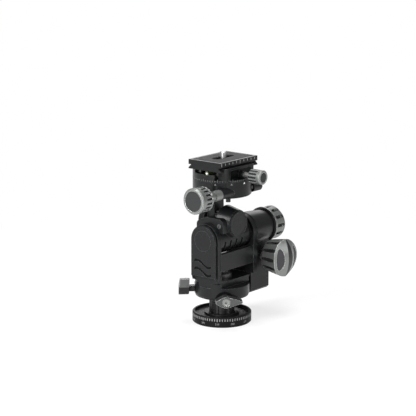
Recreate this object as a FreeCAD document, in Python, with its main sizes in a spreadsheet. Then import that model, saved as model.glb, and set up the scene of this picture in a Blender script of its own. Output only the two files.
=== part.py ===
"""Geared tripod head: three worm drives for tilt, roll and pan over a locking base.

Millimetres, +Z up. The origin is the centre of the tripod thread, in the plane of the
base disc's underside. +X runs along the camera plate, towards the roll knob. -Y is the
front of the head, which the tilt knob and the clamp knob face.
"""
import FreeCAD, Part
import Sketcher
import math
import os
import re

DOC = FreeCAD.newDocument("geared_head")
SHEET = DOC.addObject("Spreadsheet::Sheet", "dims")
V = FreeCAD.Vector

# Driving sizes in millimetres, degrees for angles and plain counts, by sub-assembly.
SIZES = {
    # fits
    "running": 0.05, "seat_gap": 0.3, "push_gap": 0.02, "gear_backlash": 0.22,
    # base disc, tripod thread and pan spindle
    "base_radius": 28, "base_height": 10, "base_rim": 2.3, "dish_depth": 2.4, "base_bevel": 0.8,
    "thread_minor_radius": 3.97, "insert_radius": 7.5, "insert_length": 7,
    "flange_radius": 16.5, "flange_thickness": 1.6, "spindle_radius": 12,
    "spindle_shoulder": 37, "spindle_neck_radius": 7, "spindle_neck": 11.5, "screw_room": 12,
    "lock_groove_depth": 1.2, "flute_depth": 0.9, "flute_width": 3.6, "flute_count": 8,
    "rack_tooth": 1.0, "rack_pitch": 2.0, "rack_teeth": 6,
    "spindle_screw_ring": 14.3, "spindle_screw_radius": 1.25, "spindle_screw_head": 1.6,
    "spindle_nut_radius": 9.5, "spindle_nut_height": 4.2,
    # yoke
    "skirt_radius": 26, "skirt_depth": 12, "skirt_round": 3, "yoke_floor_thickness": 6, "yoke_depth": 32, "arm_left": 5, "arm_right": 5.5,
    "yoke_inside_left": 20, "yoke_inside_right": 27.5, "wall": 3,
    "window_height": 10.5, "front_wall_drop": 12, "back_wall_drop": 22, "shoulder_slope": 12,
    "tilt_axis_height": 82, "left_arm_radius": 15.5, "right_arm_radius": 16.5,
    "tilt_pin_radius": 5, "bush_wall": 2.5, "trunnion_radius": 7.5, "trunnion_bore": 5.2,
    "cover_thickness": 1.7, "cover_radius": 14.8, "cover_foot_rise": 4, "cover_bevel": 0.9,
    "cover_gap": 1.6, "cover_inset": 1.6,
    "wave_width": 2.5, "wave_depth": 1.1, "wave_spacing": 7.8, "wave_drop": 19.6,
    # gear case and its train
    "case_length": 28, "case_front": 9, "case_back": 15, "case_bottom": 21, "case_wall": 2.3,
    "case_chamfer": 2, "barrel_root_radius": 17, "barrel_end_radius": 15, "barrel_step": 1,
    "gear_bay_radius": 13.4, "bay_drop": 10, "train_bay_start": 2.6, "lid_thickness": 2,
    "lid_margin": 2.2, "lid_height": 25, "lid_screw_radius": 1.3, "lid_screw_edge": 0.55,
    "lid_screw_z": 12.3,
    "worm_wall_gap": 8, "tilt_worm_drop": 26, "tilt_module": 0.7, "tilt_wheel_teeth": 20,
    "worm_radius": 3.75, "worm_length": 13.5, "worm_shaft_radius": 2.5, "lay_y": 3,
    "lay_shaft_radius": 2, "wheel_width": 5, "pinion_width": 6, "pinion_start": 4,
    "pinion_teeth": 12, "sector_teeth": 24, "collar_radius": 6.5, "collar_length": 4.4,
    # tilt and roll knobs
    "knob_radius": 18.2, "knob_back": 15.4, "knob_length": 27.4, "knob_shoulder": 4,
    "knob_hub": 8, "knob_flutes": 12, "flute_half_width": 1.9, "flute_sink": 1.5,
    "flute_margin": 1.3, "ridge_width": 8.8, "ridge_step": 0.5, "roof_slope": 22,
    "knob_dome": 30, "inlay_height": 21.5, "inlay_width": 9.2, "inlay_recess": 1.2,
    "inlay_sink": 0.15, "tilt_knob_start": 14, "roll_knob_gap": 0.8,
    "roll_knob_radius": 16.2, "roll_knob_back": 15.6, "roll_knob_length": 20.8,
    "roll_knob_shoulder": 3, "roll_knob_flange": 17, "roll_flange_thickness": 2.4,
    # cradle and roll axis
    "drum_radius": 15, "drum_step": 1.5, "drum_step_x": 22, "groove_width": 2.3,
    "groove_depth": 2.0, "groove_pitch": 8.3, "groove_first_x": -13, "groove_count": 4,
    "roll_axis_rise": 14.5, "ear_rise": 21, "ear_front": 17.3, "ear_thickness": 8.5,
    "ear_round": 6, "nose_root_radius": 16, "nose_tip_radius": 13, "nose_root_y": 5,
    "nose_tip_y": 19, "cap_radius": 12.2, "cap_thickness": 1.5, "rear_bearing_radius": 12,
    "rear_bearing_y": 13, "rear_bearing_length": 6, "roll_bay_half": 12,
    "roll_shaft_radius": 4, "roll_wheel_teeth": 20,
    "roll_worm_radius": 4, "roll_worm_length": 16, "knob_shaft_radius": 3,
    "ear_screw_radius": 2.2, "ear_screw_rise": 14.2, "ear_screw_y": 12.4,
    # saddle and pan unit
    "neck_half_width": 7, "neck_front": 3.6, "neck_back": 12, "neck_drop": 5.5,
    "neck_flange_radius": 13, "neck_flange_thickness": 3, "neck_screw_ring": 10.2,
    "neck_screw_radius": 1.5, "pan_radius": 27.5, "pan_rise": 26.5, "stator_height": 15,
    "pan_floor": 2.6, "pan_bay_radius": 18, "pan_worm_y": 20, "pan_worm_rise": 5.5,
    "pan_wheel_teeth": 40, "pan_worm_radius": 3.5, "pan_worm_length": 14,
    "pan_shaft_radius": 2.3, "pan_post_radius": 5, "pan_hub_radius": 10,
    "worm_tunnel_radius": 4.7, "boss_start": 38, "sleeve_radius": 4.5,
    "pan_knob_start": 50, "pan_knob_radius": 12, "pan_knob_length": 16, "pan_knob_slots": 18,
    "slot_width": 2.2, "slot_depth": 1.1, "insert_thickness": 1.2, "pan_insert_radius": 9.4,
    "end_cap_reach": 31, "end_cap_radius": 4.6, "preload_screw_radius": 2.2,
    # clamp
    "rotor_height": 6.8, "clamp_half_length": 26, "jaw_split_y": 11, "jaw_outer_y": 22.4,
    "jaw_foot_rise": 1.4, "jaw_seat_rise": 8.6, "jaw_reach": 3.2, "jaw_scoop_radius": 26,
    "jaw_lip": 2.2,
    "front_jaw_half_length": 21, "jaw_corner": 3, "guide_pin_radius": 1.2,
    "guide_pin_x": 17, "guide_pin_rise": 3.4,
    "clamp_screw_x": 5.5, "clamp_screw_rise": 3,
    "clamp_screw_radius": 1.9, "clamp_knob_radius": 6.8, "clamp_knob_length": 13.8,
    "clamp_knob_start": 30.6, "clamp_sleeve_radius": 2.7, "clamp_knob_flutes": 12,
    "clamp_insert_radius": 4.7, "level_radius": 2.1, "level_length": 14,
    # camera plate
    "plate_length": 55, "plate_shift": 1.5, "plate_half_width": 19, "plate_clear": 0.3,
    "plate_thickness": 8.7, "plate_band": 4.6, "plate_groove": 2.8, "plate_foot": 1.0,
    "screw_slot_length": 28, "camera_screw_radius": 3.175, "camera_screw_rise": 5.5,
    "camera_screw_head": 7, "pad_thickness": 1.0, "pad_margin": 3, "stop_radius": 2, "stop_offset": 7,
    # locking levers
    "lever_tip_short": 9.4, "lever_tip_long": 15.3, "lever_hub_radius": 5.4,
    "lever_half_waist": 4.2, "lever_tip_half": 0.9, "lever_thickness": 9.2,
    "lever_neck_radius": 3.4, "lever_neck_start": 26.3, "front_lever_neck": 3.2, "side_lever_neck": 5.2,
    "lever_screw_radius": 2.4, "front_lever_height": 27.4, "side_lever_height": 32.2,
    "front_lever_angle": 225, "side_lever_angle": 135, "front_lever_turn": 0,
    "side_lever_turn": 50, "shoe_length": 4, "arch_radius": 9.5, "arch_depth": 6,
}

# Places and lengths that follow from the sizes.
DERIVED = {
    "case_right": "yoke_inside_right + arm_right + case_length",
    "barrel_length": "case_length - barrel_step",
    "tilt_worm_x": "case_right - worm_wall_gap",
    "lid_screw_x": "(case_length - train_bay_start - case_wall) / 2 - lid_screw_edge",
    "roll_knob_start": "case_right + roll_knob_gap",
    "spindle_top": "spindle_shoulder + spindle_neck",
    "skirt_top": "spindle_shoulder",
    "skirt_bottom": "skirt_top - skirt_depth",
    "yoke_floor": "skirt_top + yoke_floor_thickness",
    "window_top": "yoke_floor + window_height",
    "front_wall_top": "tilt_axis_height - front_wall_drop",
    "back_wall_top": "tilt_axis_height - back_wall_drop",
    "cover_bottom": "yoke_floor + cover_foot_rise",
    "wave_height": "tilt_axis_height - wave_drop",
    "tilt_worm_height": "tilt_axis_height - tilt_worm_drop",
    "bay_floor": "tilt_worm_height - bay_drop",
    "ear_top": "tilt_axis_height + ear_rise",
    "ear_screw_height": "tilt_axis_height + ear_screw_rise",
    "roll_axis_height": "tilt_axis_height + roll_axis_rise",
    "neck_bottom": "roll_axis_height - neck_drop",
    "pan_bottom": "roll_axis_height + pan_rise",
    "pan_seam": "pan_bottom + stator_height",
    "pan_worm_height": "pan_bottom + pan_worm_rise",
    "clamp_floor": "pan_seam + rotor_height",
    "jaw_foot": "pan_seam + jaw_foot_rise",
    "jaw_seat": "jaw_foot + jaw_seat_rise",
    "jaw_top": "jaw_seat + jaw_reach",
    "guide_pin_height": "jaw_foot + guide_pin_rise",
    "clamp_screw_height": "jaw_foot + clamp_screw_rise",
    "plate_bottom": "jaw_seat + plate_clear",
    "plate_top": "plate_bottom + plate_thickness",
}
FUNCTIONS = {"sin", "cos", "tan", "sqrt", "abs", "min", "max"}
WORD = re.compile(r"[a-z][a-z0-9_]*")
NODES = []


def fill_sheet():
    """Write the sizes and the heights that follow from them, each named by an alias."""
    cells = dict(SIZES, **{alias: "=" + text for alias, text in DERIVED.items()})
    for row, (alias, content) in enumerate(cells.items(), start=1):
        SHEET.set("A%d" % row, alias)
        SHEET.set("B%d" % row, str(content))
        SHEET.setAlias("B%d" % row, alias)
    DOC.recompute()


def size(alias):
    """Read one driving size back from the spreadsheet."""
    return float(SHEET.get(alias))


def formula(text):
    """Point the size names in a formula at the spreadsheet."""
    def cell(match):
        word = match.group(0)
        return word if word in FUNCTIONS else "dims." + word
    return WORD.sub(cell, str(text))


def bind(thing, **formulas):
    """Bind properties of an object to formulas on the driving sizes."""
    for name, text in formulas.items():
        thing.setExpression(name, formula(text))


def turn_to(axis):
    """Rotation that lays an upright piece along a named axis."""
    directions = {"z": V(0, 0, 1), "-z": V(0, 0, -1), "x": V(1, 0, 0), "-x": V(-1, 0, 0),
                  "y": V(0, 1, 0), "-y": V(0, -1, 0)}
    upright = {"z": V(1, 0, 0), "-z": V(1, 0, 0), "x": V(0, 0, 1), "-x": V(0, 0, 1),
               "y": V(0, 0, 1), "-y": V(0, 0, 1)}
    return facing(directions[axis], upright[axis])


def facing(axis, toward):
    """Rotation that takes local Z to axis and local X to the direction named toward."""
    across = axis.cross(toward)
    return FreeCAD.Rotation(toward, across, axis, "ZXY")


def place(thing, at=("0", "0", "0"), axis="z", rotation=None):
    """Turn an object and bind its position to formulas."""
    thing.Placement = FreeCAD.Placement(V(0, 0, 0), rotation or turn_to(axis))
    for letter, text in zip("xyz", at):
        thing.setExpression("Placement.Base." + letter, formula(text))


def node(thing, label):
    """Name a finished sub-part; the name is its file's name too."""
    thing.Label = label
    NODES.append(thing)
    return thing


def rod(name, radius, length, at=("0", "0", "0"), axis="z", rotation=None):
    """Plain round bar that starts at a point and runs along an axis."""
    bar = DOC.addObject("Part::Cylinder", name)
    bind(bar, Radius=radius, Height=length)
    place(bar, at, axis, rotation)
    return bar


def taper(name, start_radius, end_radius, length, at=("0", "0", "0"), axis="z"):
    """Tapered round bar that starts at a point and runs along an axis."""
    bar = DOC.addObject("Part::Cone", name)
    bind(bar, Radius1=start_radius, Radius2=end_radius, Height=length)
    place(bar, at, axis)
    return bar


def block(name, low, high):
    """Box between two opposite corners."""
    box = DOC.addObject("Part::Box", name)
    sides = ["(%s) - (%s)" % (top, bottom) for bottom, top in zip(low, high)]
    bind(box, Length=sides[0], Width=sides[1], Height=sides[2])
    place(box, low)
    return box


def fuse(name, *pieces):
    """Join pieces into one solid."""
    joined = DOC.addObject("Part::MultiFuse", name)
    joined.Shapes = list(pieces)
    joined.Refine = True
    return joined


def cut(name, base, *tools):
    """Take the tools out of a base solid."""
    removed = DOC.addObject("Part::Cut", name)
    removed.Base = base
    removed.Tool = tools[0] if len(tools) == 1 else fuse(name + "_tools", *tools)
    removed.Refine = False
    return removed


def common(name, first, second):
    """Keep what two solids share."""
    shared = DOC.addObject("Part::Common", name)
    shared.Base = first
    shared.Tool = second
    return shared


def new_body(name, at=("0", "0", "0"), axis="z", rotation=None):
    """Start a body at a place of its own."""
    body = DOC.addObject("PartDesign::Body", name)
    place(body, at, axis, rotation)
    return body


def blank_sketch(body, name, role):
    """Empty sketch on one of the body's own origin planes."""
    sketch = body.newObject("Sketcher::SketchObject", name)
    plane = [item for item in body.Origin.OriginFeatures if item.Role == role][0]
    sketch.AttachmentSupport = [(plane, "")]
    sketch.MapMode = "FlatFace"
    return sketch


def hold_point(sketch, geometry, vertex, x, y):
    """Fix a point of a sketch by two distances that follow formulas."""
    for kind, text in (("DistanceX", x), ("DistanceY", y)):
        index = sketch.addConstraint(Sketcher.Constraint(kind, -1, 1, geometry, vertex, 1.0))
        sketch.setExpression("Constraints[%d]" % index, formula(text))


def outline_sketch(body, name, role, points):
    """Closed outline of straight lines through points given as formulas."""
    sketch = blank_sketch(body, name, role)
    count = len(points)
    for index in range(count):
        start = V(math.cos(index * 6.28 / count), math.sin(index * 6.28 / count), 0)
        end = V(math.cos((index + 1) * 6.28 / count), math.sin((index + 1) * 6.28 / count), 0)
        sketch.addGeometry(Part.LineSegment(start, end), False)
    for index in range(count):
        following = (index + 1) % count
        sketch.addConstraint(Sketcher.Constraint("Coincident", index, 2, following, 1))
        hold_point(sketch, index, 1, *points[index])
    return sketch


def circle_sketch(body, name, role, centres, radius):
    """Circles of one radius about points given as formulas."""
    sketch = blank_sketch(body, name, role)
    for index, (x, y) in enumerate(centres):
        sketch.addGeometry(Part.Circle(V(index, 0, 0), V(0, 0, 1), 1.0), False)
        hold_point(sketch, index, 3, x, y)
        constraint = sketch.addConstraint(Sketcher.Constraint("Radius", index, 1.0))
        sketch.setExpression("Constraints[%d]" % constraint, formula(radius))
    return sketch


def feature(body, kind, name, sketch, **formulas):
    """Add a feature to a body from a sketch, with its sizes bound."""
    made = body.newObject("PartDesign::" + kind, name)
    made.Profile = sketch
    bind(made, **formulas)
    sketch.Visibility = False
    body.Tip = made
    return made


def pocket_up(body, name, sketch, length):
    """Pocket that cuts from the sketch plane towards local +Z."""
    made = feature(body, "Pocket", name, sketch, Length=length)
    made.Reversed = True
    return made


def repeat_round(body, name, original, count):
    """Repeat a feature round the body's own upright axis."""
    pattern = body.newObject("PartDesign::PolarPattern", name)
    axis = [item for item in body.Origin.OriginFeatures if item.Role == "Z_Axis"][0]
    pattern.Originals = [original]
    pattern.Axis = (axis, [""])
    pattern.Angle = 360
    bind(pattern, Occurrences=count)
    body.Tip = pattern
    return pattern


def turned(name, outline, at=("0", "0", "0"), axis="z"):
    """Body turned about its own axis from a half section of (radius, height) points."""
    body = new_body(name, at, axis)
    sketch = outline_sketch(body, name + "_section", "XZ_Plane", outline)
    turning = feature(body, "Revolution", name + "_turning", sketch)
    turning.ReferenceAxis = (sketch, ["V_Axis"])
    turning.Angle = 360
    return body


def bush(name, inner, outer, length, at, axis="x"):
    """Plain bearing bush."""
    section = [(inner, "0"), (outer, "0"), (outer, length), (inner, length)]
    return turned(name, section, at, axis)


# ---------------------------------------------------------------- gears and worms

def tooth_outline(teeth, module, thinning, tip_height, angle_offset=0.0):
    """Points of a gear's outline with a tooth centred on angle_offset, in degrees."""
    pitch_radius = module * teeth / 2
    tip_radius = pitch_radius + tip_height * module
    root_radius = pitch_radius - 1.25 * module
    base_radius = pitch_radius * math.cos(math.radians(20))
    half_pitch_angle = (math.pi * module / 2 - thinning) / 2 / pitch_radius

    def involute(radius):
        """Polar angle of the flank, measured from the start of the involute."""
        pressure = math.acos(min(1.0, base_radius / radius))
        return math.tan(pressure) - pressure

    flank = [max(base_radius, root_radius + 0.05), pitch_radius, tip_radius]
    half_angles = [half_pitch_angle + involute(pitch_radius) - involute(r) for r in flank]
    profile = [(root_radius, half_angles[0])] + list(zip(flank, half_angles))
    points = []
    for tooth in range(teeth):
        middle = math.radians(angle_offset) + 2 * math.pi * tooth / teeth
        for radius, half in profile:
            points.append((radius, middle - half))
        for radius, half in reversed(profile):
            points.append((radius, middle + half))
    return [V(r * math.cos(a), r * math.sin(a), 0) for r, a in points]


def gear_shape(teeth, module, width, bore, tip_height=1.0, twist=0.0, offset=0.0):
    """Gear centred on the origin along Z, its teeth twisted by an angle over its width."""
    outline = tooth_outline(teeth, module, size("gear_backlash"), tip_height, offset)
    wires = []
    for side in (-0.5, 0.5):
        wire = Part.makePolygon(outline + [outline[0]])
        wire.rotate(V(0, 0, 0), V(0, 0, 1), side * twist)
        wire.translate(V(0, 0, side * width))
        wires.append(wire)
    if twist:
        solid = Part.makeLoft(wires, True, True)
    else:
        solid = Part.Face(wires[0]).extrude(V(0, 0, width))
    return solid.cut(Part.makeCylinder(bore, width * 2, V(0, 0, -width)))


def lead_angle_tangent(module, worm_radius):
    """Slope of a single-start thread at its pitch radius."""
    return module / (2 * worm_radius)


def wheel_shape(teeth, module, worm_radius, width, bore):
    """Worm wheel with a tooth gap on local +X, its teeth sloped to a right-hand worm."""
    pitch_radius = module * teeth / 2
    slope = lead_angle_tangent(module, worm_radius)
    twist = math.degrees(width * slope / pitch_radius)
    return gear_shape(teeth, module, width, bore, 0.9, twist, 180.0 / teeth)


def thread_shape(module, pitch_radius, length, steps_per_turn=16):
    """Right-hand single-start worm thread, its crest on local +X at the origin."""
    lead = math.pi * module
    crest = pitch_radius + 0.9 * module
    foot = pitch_radius - 1.35 * module
    slope = math.tan(math.radians(20))
    half_pitch = (math.pi * module / 2 - size("gear_backlash")) / 2
    half_crest = half_pitch - (crest - pitch_radius) * slope
    half_foot = half_pitch + (pitch_radius - foot) * slope
    turns = (length - 2 * half_foot) / lead
    count = max(8, int(turns * steps_per_turn))
    sections = []
    for index in range(count + 1):
        share = index / count - 0.5
        angle = 2 * math.pi * turns * share
        middle = lead * turns * share
        corners = [(foot, -half_foot), (crest, -half_crest), (crest, half_crest), (foot, half_foot)]
        points = [V(r * math.cos(angle), r * math.sin(angle), middle + z) for r, z in corners]
        sections.append(Part.makePolygon(points + [points[0]]))
    return Part.makeLoft(sections, True, True), pitch_radius - 1.2 * module


def worm_shape(module, pitch_radius, length, journals):
    """Worm on a shaft; journals are (radius, start, end) lengths of plain shaft."""
    thread, core_radius = thread_shape(module, pitch_radius, length)
    shaft = Part.makeCylinder(core_radius, length, V(0, 0, -length / 2))
    for radius, start, end in journals:
        shaft = shaft.fuse(Part.makeCylinder(radius, end - start, V(0, 0, start)))
    return shaft.fuse(thread).removeSplitter()


def solid_feature(label, shape, at, rotation):
    """Sub-part with a computed shape, put in its place."""
    thing = DOC.addObject("Part::Feature", label)
    thing.Shape = shape
    thing.Placement = FreeCAD.Placement(at, rotation)
    return node(thing, label)


# ---------------------------------------------------------------- base and pan spindle

def build_base():
    """Base disc with its dished top and the tripod thread's insert."""
    dish = "base_height - dish_depth"
    disc = turned("base_blank", [
        ("insert_radius + push_gap", "0"), ("base_radius - base_bevel", "0"),
        ("base_radius", "base_bevel"), ("base_radius", "base_height - base_bevel"),
        ("base_radius - base_bevel", "base_height"), ("base_radius - base_rim", "base_height"),
        ("base_radius - base_rim - 0.6", dish), ("insert_radius + push_gap", dish)])
    holes = [rod("base_screw_hole_%d" % turn, "spindle_screw_radius + running",
                 "base_height", screw_place(turn, "2.5")) for turn in screw_angles()]
    node(cut("base_cut", disc, *holes), "base_disc")
    insert = turned("insert_blank", [
        ("thread_minor_radius", "0"), ("insert_radius", "0"), ("insert_radius", dish),
        ("thread_minor_radius + 0.6", dish), ("thread_minor_radius", "insert_length")])
    node(insert, "thread_insert")


def screw_angles():
    """Directions of the spindle's three screws, in degrees."""
    return (50, 170, 290)


def screw_place(angle, height):
    """Place on the screw circle of the spindle's flange."""
    return ("spindle_screw_ring * cos(%d)" % angle, "spindle_screw_ring * sin(%d)" % angle, height)


def build_spindle():
    """Fluted pan spindle with a lock groove, a rack strip, its flange screws and its nut."""
    foot = "base_height - dish_depth"
    groove_low = "front_lever_height - lever_screw_radius - 0.4 - lock_groove_depth"
    groove_high = "side_lever_height + lever_screw_radius + 0.4 + lock_groove_depth"
    groove = "spindle_radius - lock_groove_depth"
    blank = turned("spindle_blank", [
        ("thread_minor_radius + 0.6", foot), ("flange_radius", foot),
        ("flange_radius", foot + " + flange_thickness"),
        ("spindle_radius", foot + " + flange_thickness"), ("spindle_radius", groove_low),
        (groove, groove_low + " + lock_groove_depth"),
        (groove, groove_high + " - lock_groove_depth"), ("spindle_radius", groove_high),
        ("spindle_radius", "spindle_shoulder"), ("spindle_neck_radius", "spindle_shoulder"),
        ("spindle_neck_radius", "spindle_top"), ("0", "spindle_top"),
        ("0", foot + " + screw_room"), ("thread_minor_radius + 0.6", foot + " + screw_room")])
    flute = circle_sketch(blank, "spindle_flute", "XY_Plane", [(
        "(spindle_radius - flute_depth + flute_width) * cos(17)",
        "(spindle_radius - flute_depth + flute_width) * sin(17)")], "flute_width")
    first = pocket_up(blank, "spindle_flute_cut", flute, groove_low)
    repeat_round(blank, "spindle_flutes", first, "flute_count")
    flange_top = foot + " + flange_thickness"
    ring = bush("flange_again", "spindle_radius - 2", "flange_radius", "flange_thickness",
                ("0", "0", foot), "z")
    teeth = [block("rack_slot_%d" % step,
                   ("-spindle_radius - 1", "-2.4", flange_top + " + rack_pitch * %d" % (step + 1)),
                   ("-spindle_radius + flute_depth", "2.4",
                    flange_top + " + rack_pitch * %d + rack_tooth" % (step + 1)))
             for step in range(int(size("rack_teeth")))]
    holes = [rod("flange_hole_%d" % turn, "spindle_screw_radius + running", "base_height",
                 screw_place(turn, "0")) for turn in screw_angles()]
    node(cut("spindle_cut", fuse("spindle_whole", blank, ring), *teeth, *holes), "pan_spindle")
    screws = []
    for turn in screw_angles():
        shank = rod("spindle_shank_%d" % turn, "spindle_screw_radius",
                    flange_top + " - 3", screw_place(turn, "3"))
        head = rod("spindle_head_%d" % turn, "spindle_screw_head", "1.1",
                   screw_place(turn, flange_top))
        socket = rod("spindle_socket_%d" % turn, "spindle_screw_head / 2", "1",
                     screw_place(turn, flange_top + " + 0.5"))
        screws.append(cut("spindle_screw_%d" % turn, fuse("spindle_bolt_%d" % turn, shank, head),
                          socket))
    node(fuse("spindle_screw_set", *screws), "spindle_screws")
    nut = turned("nut_blank", [
        ("spindle_neck_radius + push_gap", "0"), ("spindle_nut_radius", "0"),
        ("spindle_nut_radius", "spindle_nut_height - 0.6"),
        ("spindle_nut_radius - 0.6", "spindle_nut_height"),
        ("spindle_neck_radius + push_gap", "spindle_nut_height")],
        ("0", "0", "yoke_floor + running"))
    slot = block("nut_slot", ("-spindle_nut_radius - 1", "-1.2", "yoke_floor + 2.6"),
                 ("spindle_nut_radius + 1", "1.2", "yoke_floor + spindle_nut_height + 1"))
    node(cut("nut_cut", nut, slot), "spindle_nut")


# ---------------------------------------------------------------- yoke and gear case

def arm(name, inner_x, outer_x, radius):
    """Upright arm of the yoke with a round head about the tilt axis."""
    plate = block(name + "_plate", (inner_x, "-(%s)" % radius, "yoke_floor"),
                  (outer_x, radius, "tilt_axis_height"))
    head = rod(name + "_head", radius, "(%s) - (%s)" % (outer_x, inner_x),
               (inner_x, "0", "tilt_axis_height"), "x")
    return [plate, head]


def radial_rotation(angle_name):
    """Rotation that points local Z outwards at a named angle, with local Y upwards."""
    angle = math.radians(size(angle_name))
    outward = V(math.cos(angle), math.sin(angle), 0)
    return FreeCAD.Rotation(V(math.sin(angle), -math.cos(angle), 0).negative(), V(0, 0, 1),
                            outward, "ZXY")


def radial_rod(name, radius, start, length, angle, height):
    """Round bar that points outwards from the pan axis."""
    at = ("(%s) * cos(%s)" % (start, angle), "(%s) * sin(%s)" % (start, angle), height)
    return rod(name, radius, length, at, rotation=radial_rotation(angle))


def build_yoke():
    """Yoke: a round skirt, a floor, two arms and the walls between them."""
    half = "yoke_depth / 2"
    left_outside = "-yoke_inside_left - arm_left"
    right_outside = "yoke_inside_right + arm_right"
    skirt = turned("skirt", [
        ("spindle_radius + running", "skirt_bottom"), ("skirt_radius - skirt_round", "skirt_bottom"),
        ("skirt_radius - skirt_round * 0.3", "skirt_bottom + skirt_round * 0.3"),
        ("skirt_radius", "skirt_bottom + skirt_round"), ("skirt_radius", "skirt_top"),
        ("spindle_radius + running", "skirt_top")])
    slab = block("slab", (left_outside, "-(%s)" % half, "skirt_top - 0.01"),
                 (right_outside, half, "yoke_floor + 6"))
    shoulder = turned("shoulder", [
        ("0", "skirt_top - 1"), ("skirt_radius", "skirt_top - 1"),
        ("skirt_radius", "skirt_top + 4"),
        ("skirt_radius + shoulder_slope", "skirt_top + 4 + shoulder_slope"),
        ("0", "skirt_top + 4 + shoulder_slope")])
    floor_block = common("floor_block", slab, shoulder)
    inner_space = block("inner_space", ("-yoke_inside_left", "-(%s) - 1" % half, "yoke_floor"),
                        ("yoke_inside_right", half + " + 1", "yoke_floor + 8"))
    arms = (arm("left_arm", left_outside, "-yoke_inside_left", "left_arm_radius")
            + arm("right_arm", "yoke_inside_right", right_outside, "right_arm_radius"))
    front = block("front_wall", ("-yoke_inside_left - 1", "-(%s)" % half, "window_top"),
                  ("yoke_inside_right + 1", "-(%s) + wall" % half, "front_wall_top"))
    back = block("back_wall", ("-yoke_inside_left - 1", half + " - wall", "yoke_floor - 1"),
                 ("yoke_inside_right + 1", half, "back_wall_top"))
    solid = fuse("yoke_solid", skirt, cut("floor_cut", floor_block, inner_space), *arms, front, back)
    tilt = ("tilt_axis_height",)
    bores = [
        rod("spindle_bore", "spindle_radius + running", "skirt_top + running", ("0", "0", "0")),
        rod("neck_bore", "spindle_neck_radius + running", "20", ("0", "0", "skirt_top - 5")),
        rod("left_bush_bore", "tilt_pin_radius + bush_wall + push_gap", "arm_left + 2",
            ("-yoke_inside_left - arm_left - 1", "0") + tilt, "x"),
        rod("right_bush_bore", "trunnion_radius + 2 + push_gap", "arm_right + 2",
            ("yoke_inside_right - 1", "0") + tilt, "x"),
        radial_rod("front_lock_bore", "lever_screw_radius + running", "spindle_radius - 2",
                   "skirt_radius", "front_lever_angle", "front_lever_height"),
        radial_rod("side_lock_bore", "lever_screw_radius + running", "spindle_radius - 2",
                   "skirt_radius", "side_lever_angle", "side_lever_height"),
        radial_rod("arch", "arch_radius", "skirt_radius - arch_depth", "skirt_radius",
                   "front_lever_angle", "skirt_bottom"),
        rod("arch_side", "arch_radius * 0.8", "skirt_radius",
            ("(skirt_radius - arch_depth) * cos(front_lever_angle) - 7 * sin(front_lever_angle)",
             "(skirt_radius - arch_depth) * sin(front_lever_angle) + 7 * cos(front_lever_angle)",
             "skirt_bottom - 1.5"), rotation=radial_rotation("front_lever_angle"))]
    node(cut("yoke_cut", solid, *bores), "yoke")
    node(bush("left_bush_ring", "tilt_pin_radius + running", "tilt_pin_radius + bush_wall",
              "arm_left", ("-yoke_inside_left - arm_left", "0") + tilt), "left_bush")
    node(bush("right_bush_ring", "trunnion_radius + running", "trunnion_radius + 2",
              "arm_right", ("yoke_inside_right", "0") + tilt), "right_bush")


def build_left_cover():
    """Cover plate of the left arm: it stands off on a smaller foot, with two wavy grooves."""
    body = new_body("cover_body", ("-yoke_inside_left - arm_left - 0.1", "0", "0"), "-x")
    cover_layer(body, "cover_foot", "cover_radius - cover_inset", "cover_bottom + cover_inset",
                "0", "cover_gap + 0.1")
    cover_layer(body, "cover_plate", "cover_radius", "cover_bottom", "cover_gap",
                "cover_thickness")
    DOC.recompute()
    bevel_rim(body, "cover_rim", size("cover_gap") + size("cover_thickness"), "cover_bevel")
    wave = wave_outline(body)
    groove = pocket_up(body, "wave_groove", wave, "wave_depth")
    row = body.newObject("PartDesign::LinearPattern", "wave_grooves")
    row.Originals = [groove]
    row.Direction = (wave, ["H_Axis"])
    row.Reversed = True
    row.Occurrences = 2
    bind(row, Length="wave_spacing")
    body.Tip = row
    node(body, "left_cover")


def cover_layer(body, name, radius, bottom, start, thickness):
    """One layer of the cover: a straight plate with a round head about the tilt axis."""
    plate = outline_sketch(body, name + "_outline", "XY_Plane", [
        (bottom, "-(%s)" % radius), ("tilt_axis_height", "-(%s)" % radius),
        ("tilt_axis_height", radius), (bottom, radius)])
    head = circle_sketch(body, name + "_head_outline", "XY_Plane", [("tilt_axis_height", "0")],
                         radius)
    for sketch, part in ((plate, name), (head, name + "_head")):
        bind(sketch, **{".AttachmentOffset.Base.z": start})
        feature(body, "Pad", part, sketch, Length=thickness)


def bevel_rim(body, name, level, depth):
    """Chamfer the rim of a padded plate at a height above its sketch plane."""
    tip = body.Tip
    edges = ["Edge%d" % (index + 1) for index, edge in enumerate(tip.Shape.Edges)
             if all(abs(vertex.Point.z - level) < 1e-4 for vertex in edge.Vertexes)]
    chamfer = body.newObject("PartDesign::Chamfer", name)
    chamfer.Base = (tip, edges)
    bind(chamfer, Size=depth)
    body.Tip = chamfer


def wave_outline(body):
    """One wavy groove across the cover, drawn on its outer face."""
    crest = [(0.70, 0.0), (0.54, 0.8), (0.38, 0.9), (0.22, 0.2), (0.05, -1.4), (-0.12, -3.2),
             (-0.28, -4.6), (-0.42, -5.1), (-0.56, -4.8), (-0.68, -3.9)]
    upper = [("wave_height + %s + wave_width / 2" % rise, "cover_radius * %s" % share)
             for share, rise in crest]
    lower = [("wave_height + %s - wave_width / 2" % rise, "cover_radius * %s" % share)
             for share, rise in reversed(crest)]
    sketch = outline_sketch(body, "wave_outline", "XY_Plane", upper + lower)
    bind(sketch, **{".AttachmentOffset.Base.z": "cover_gap + cover_thickness - wave_depth"})
    return sketch


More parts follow.
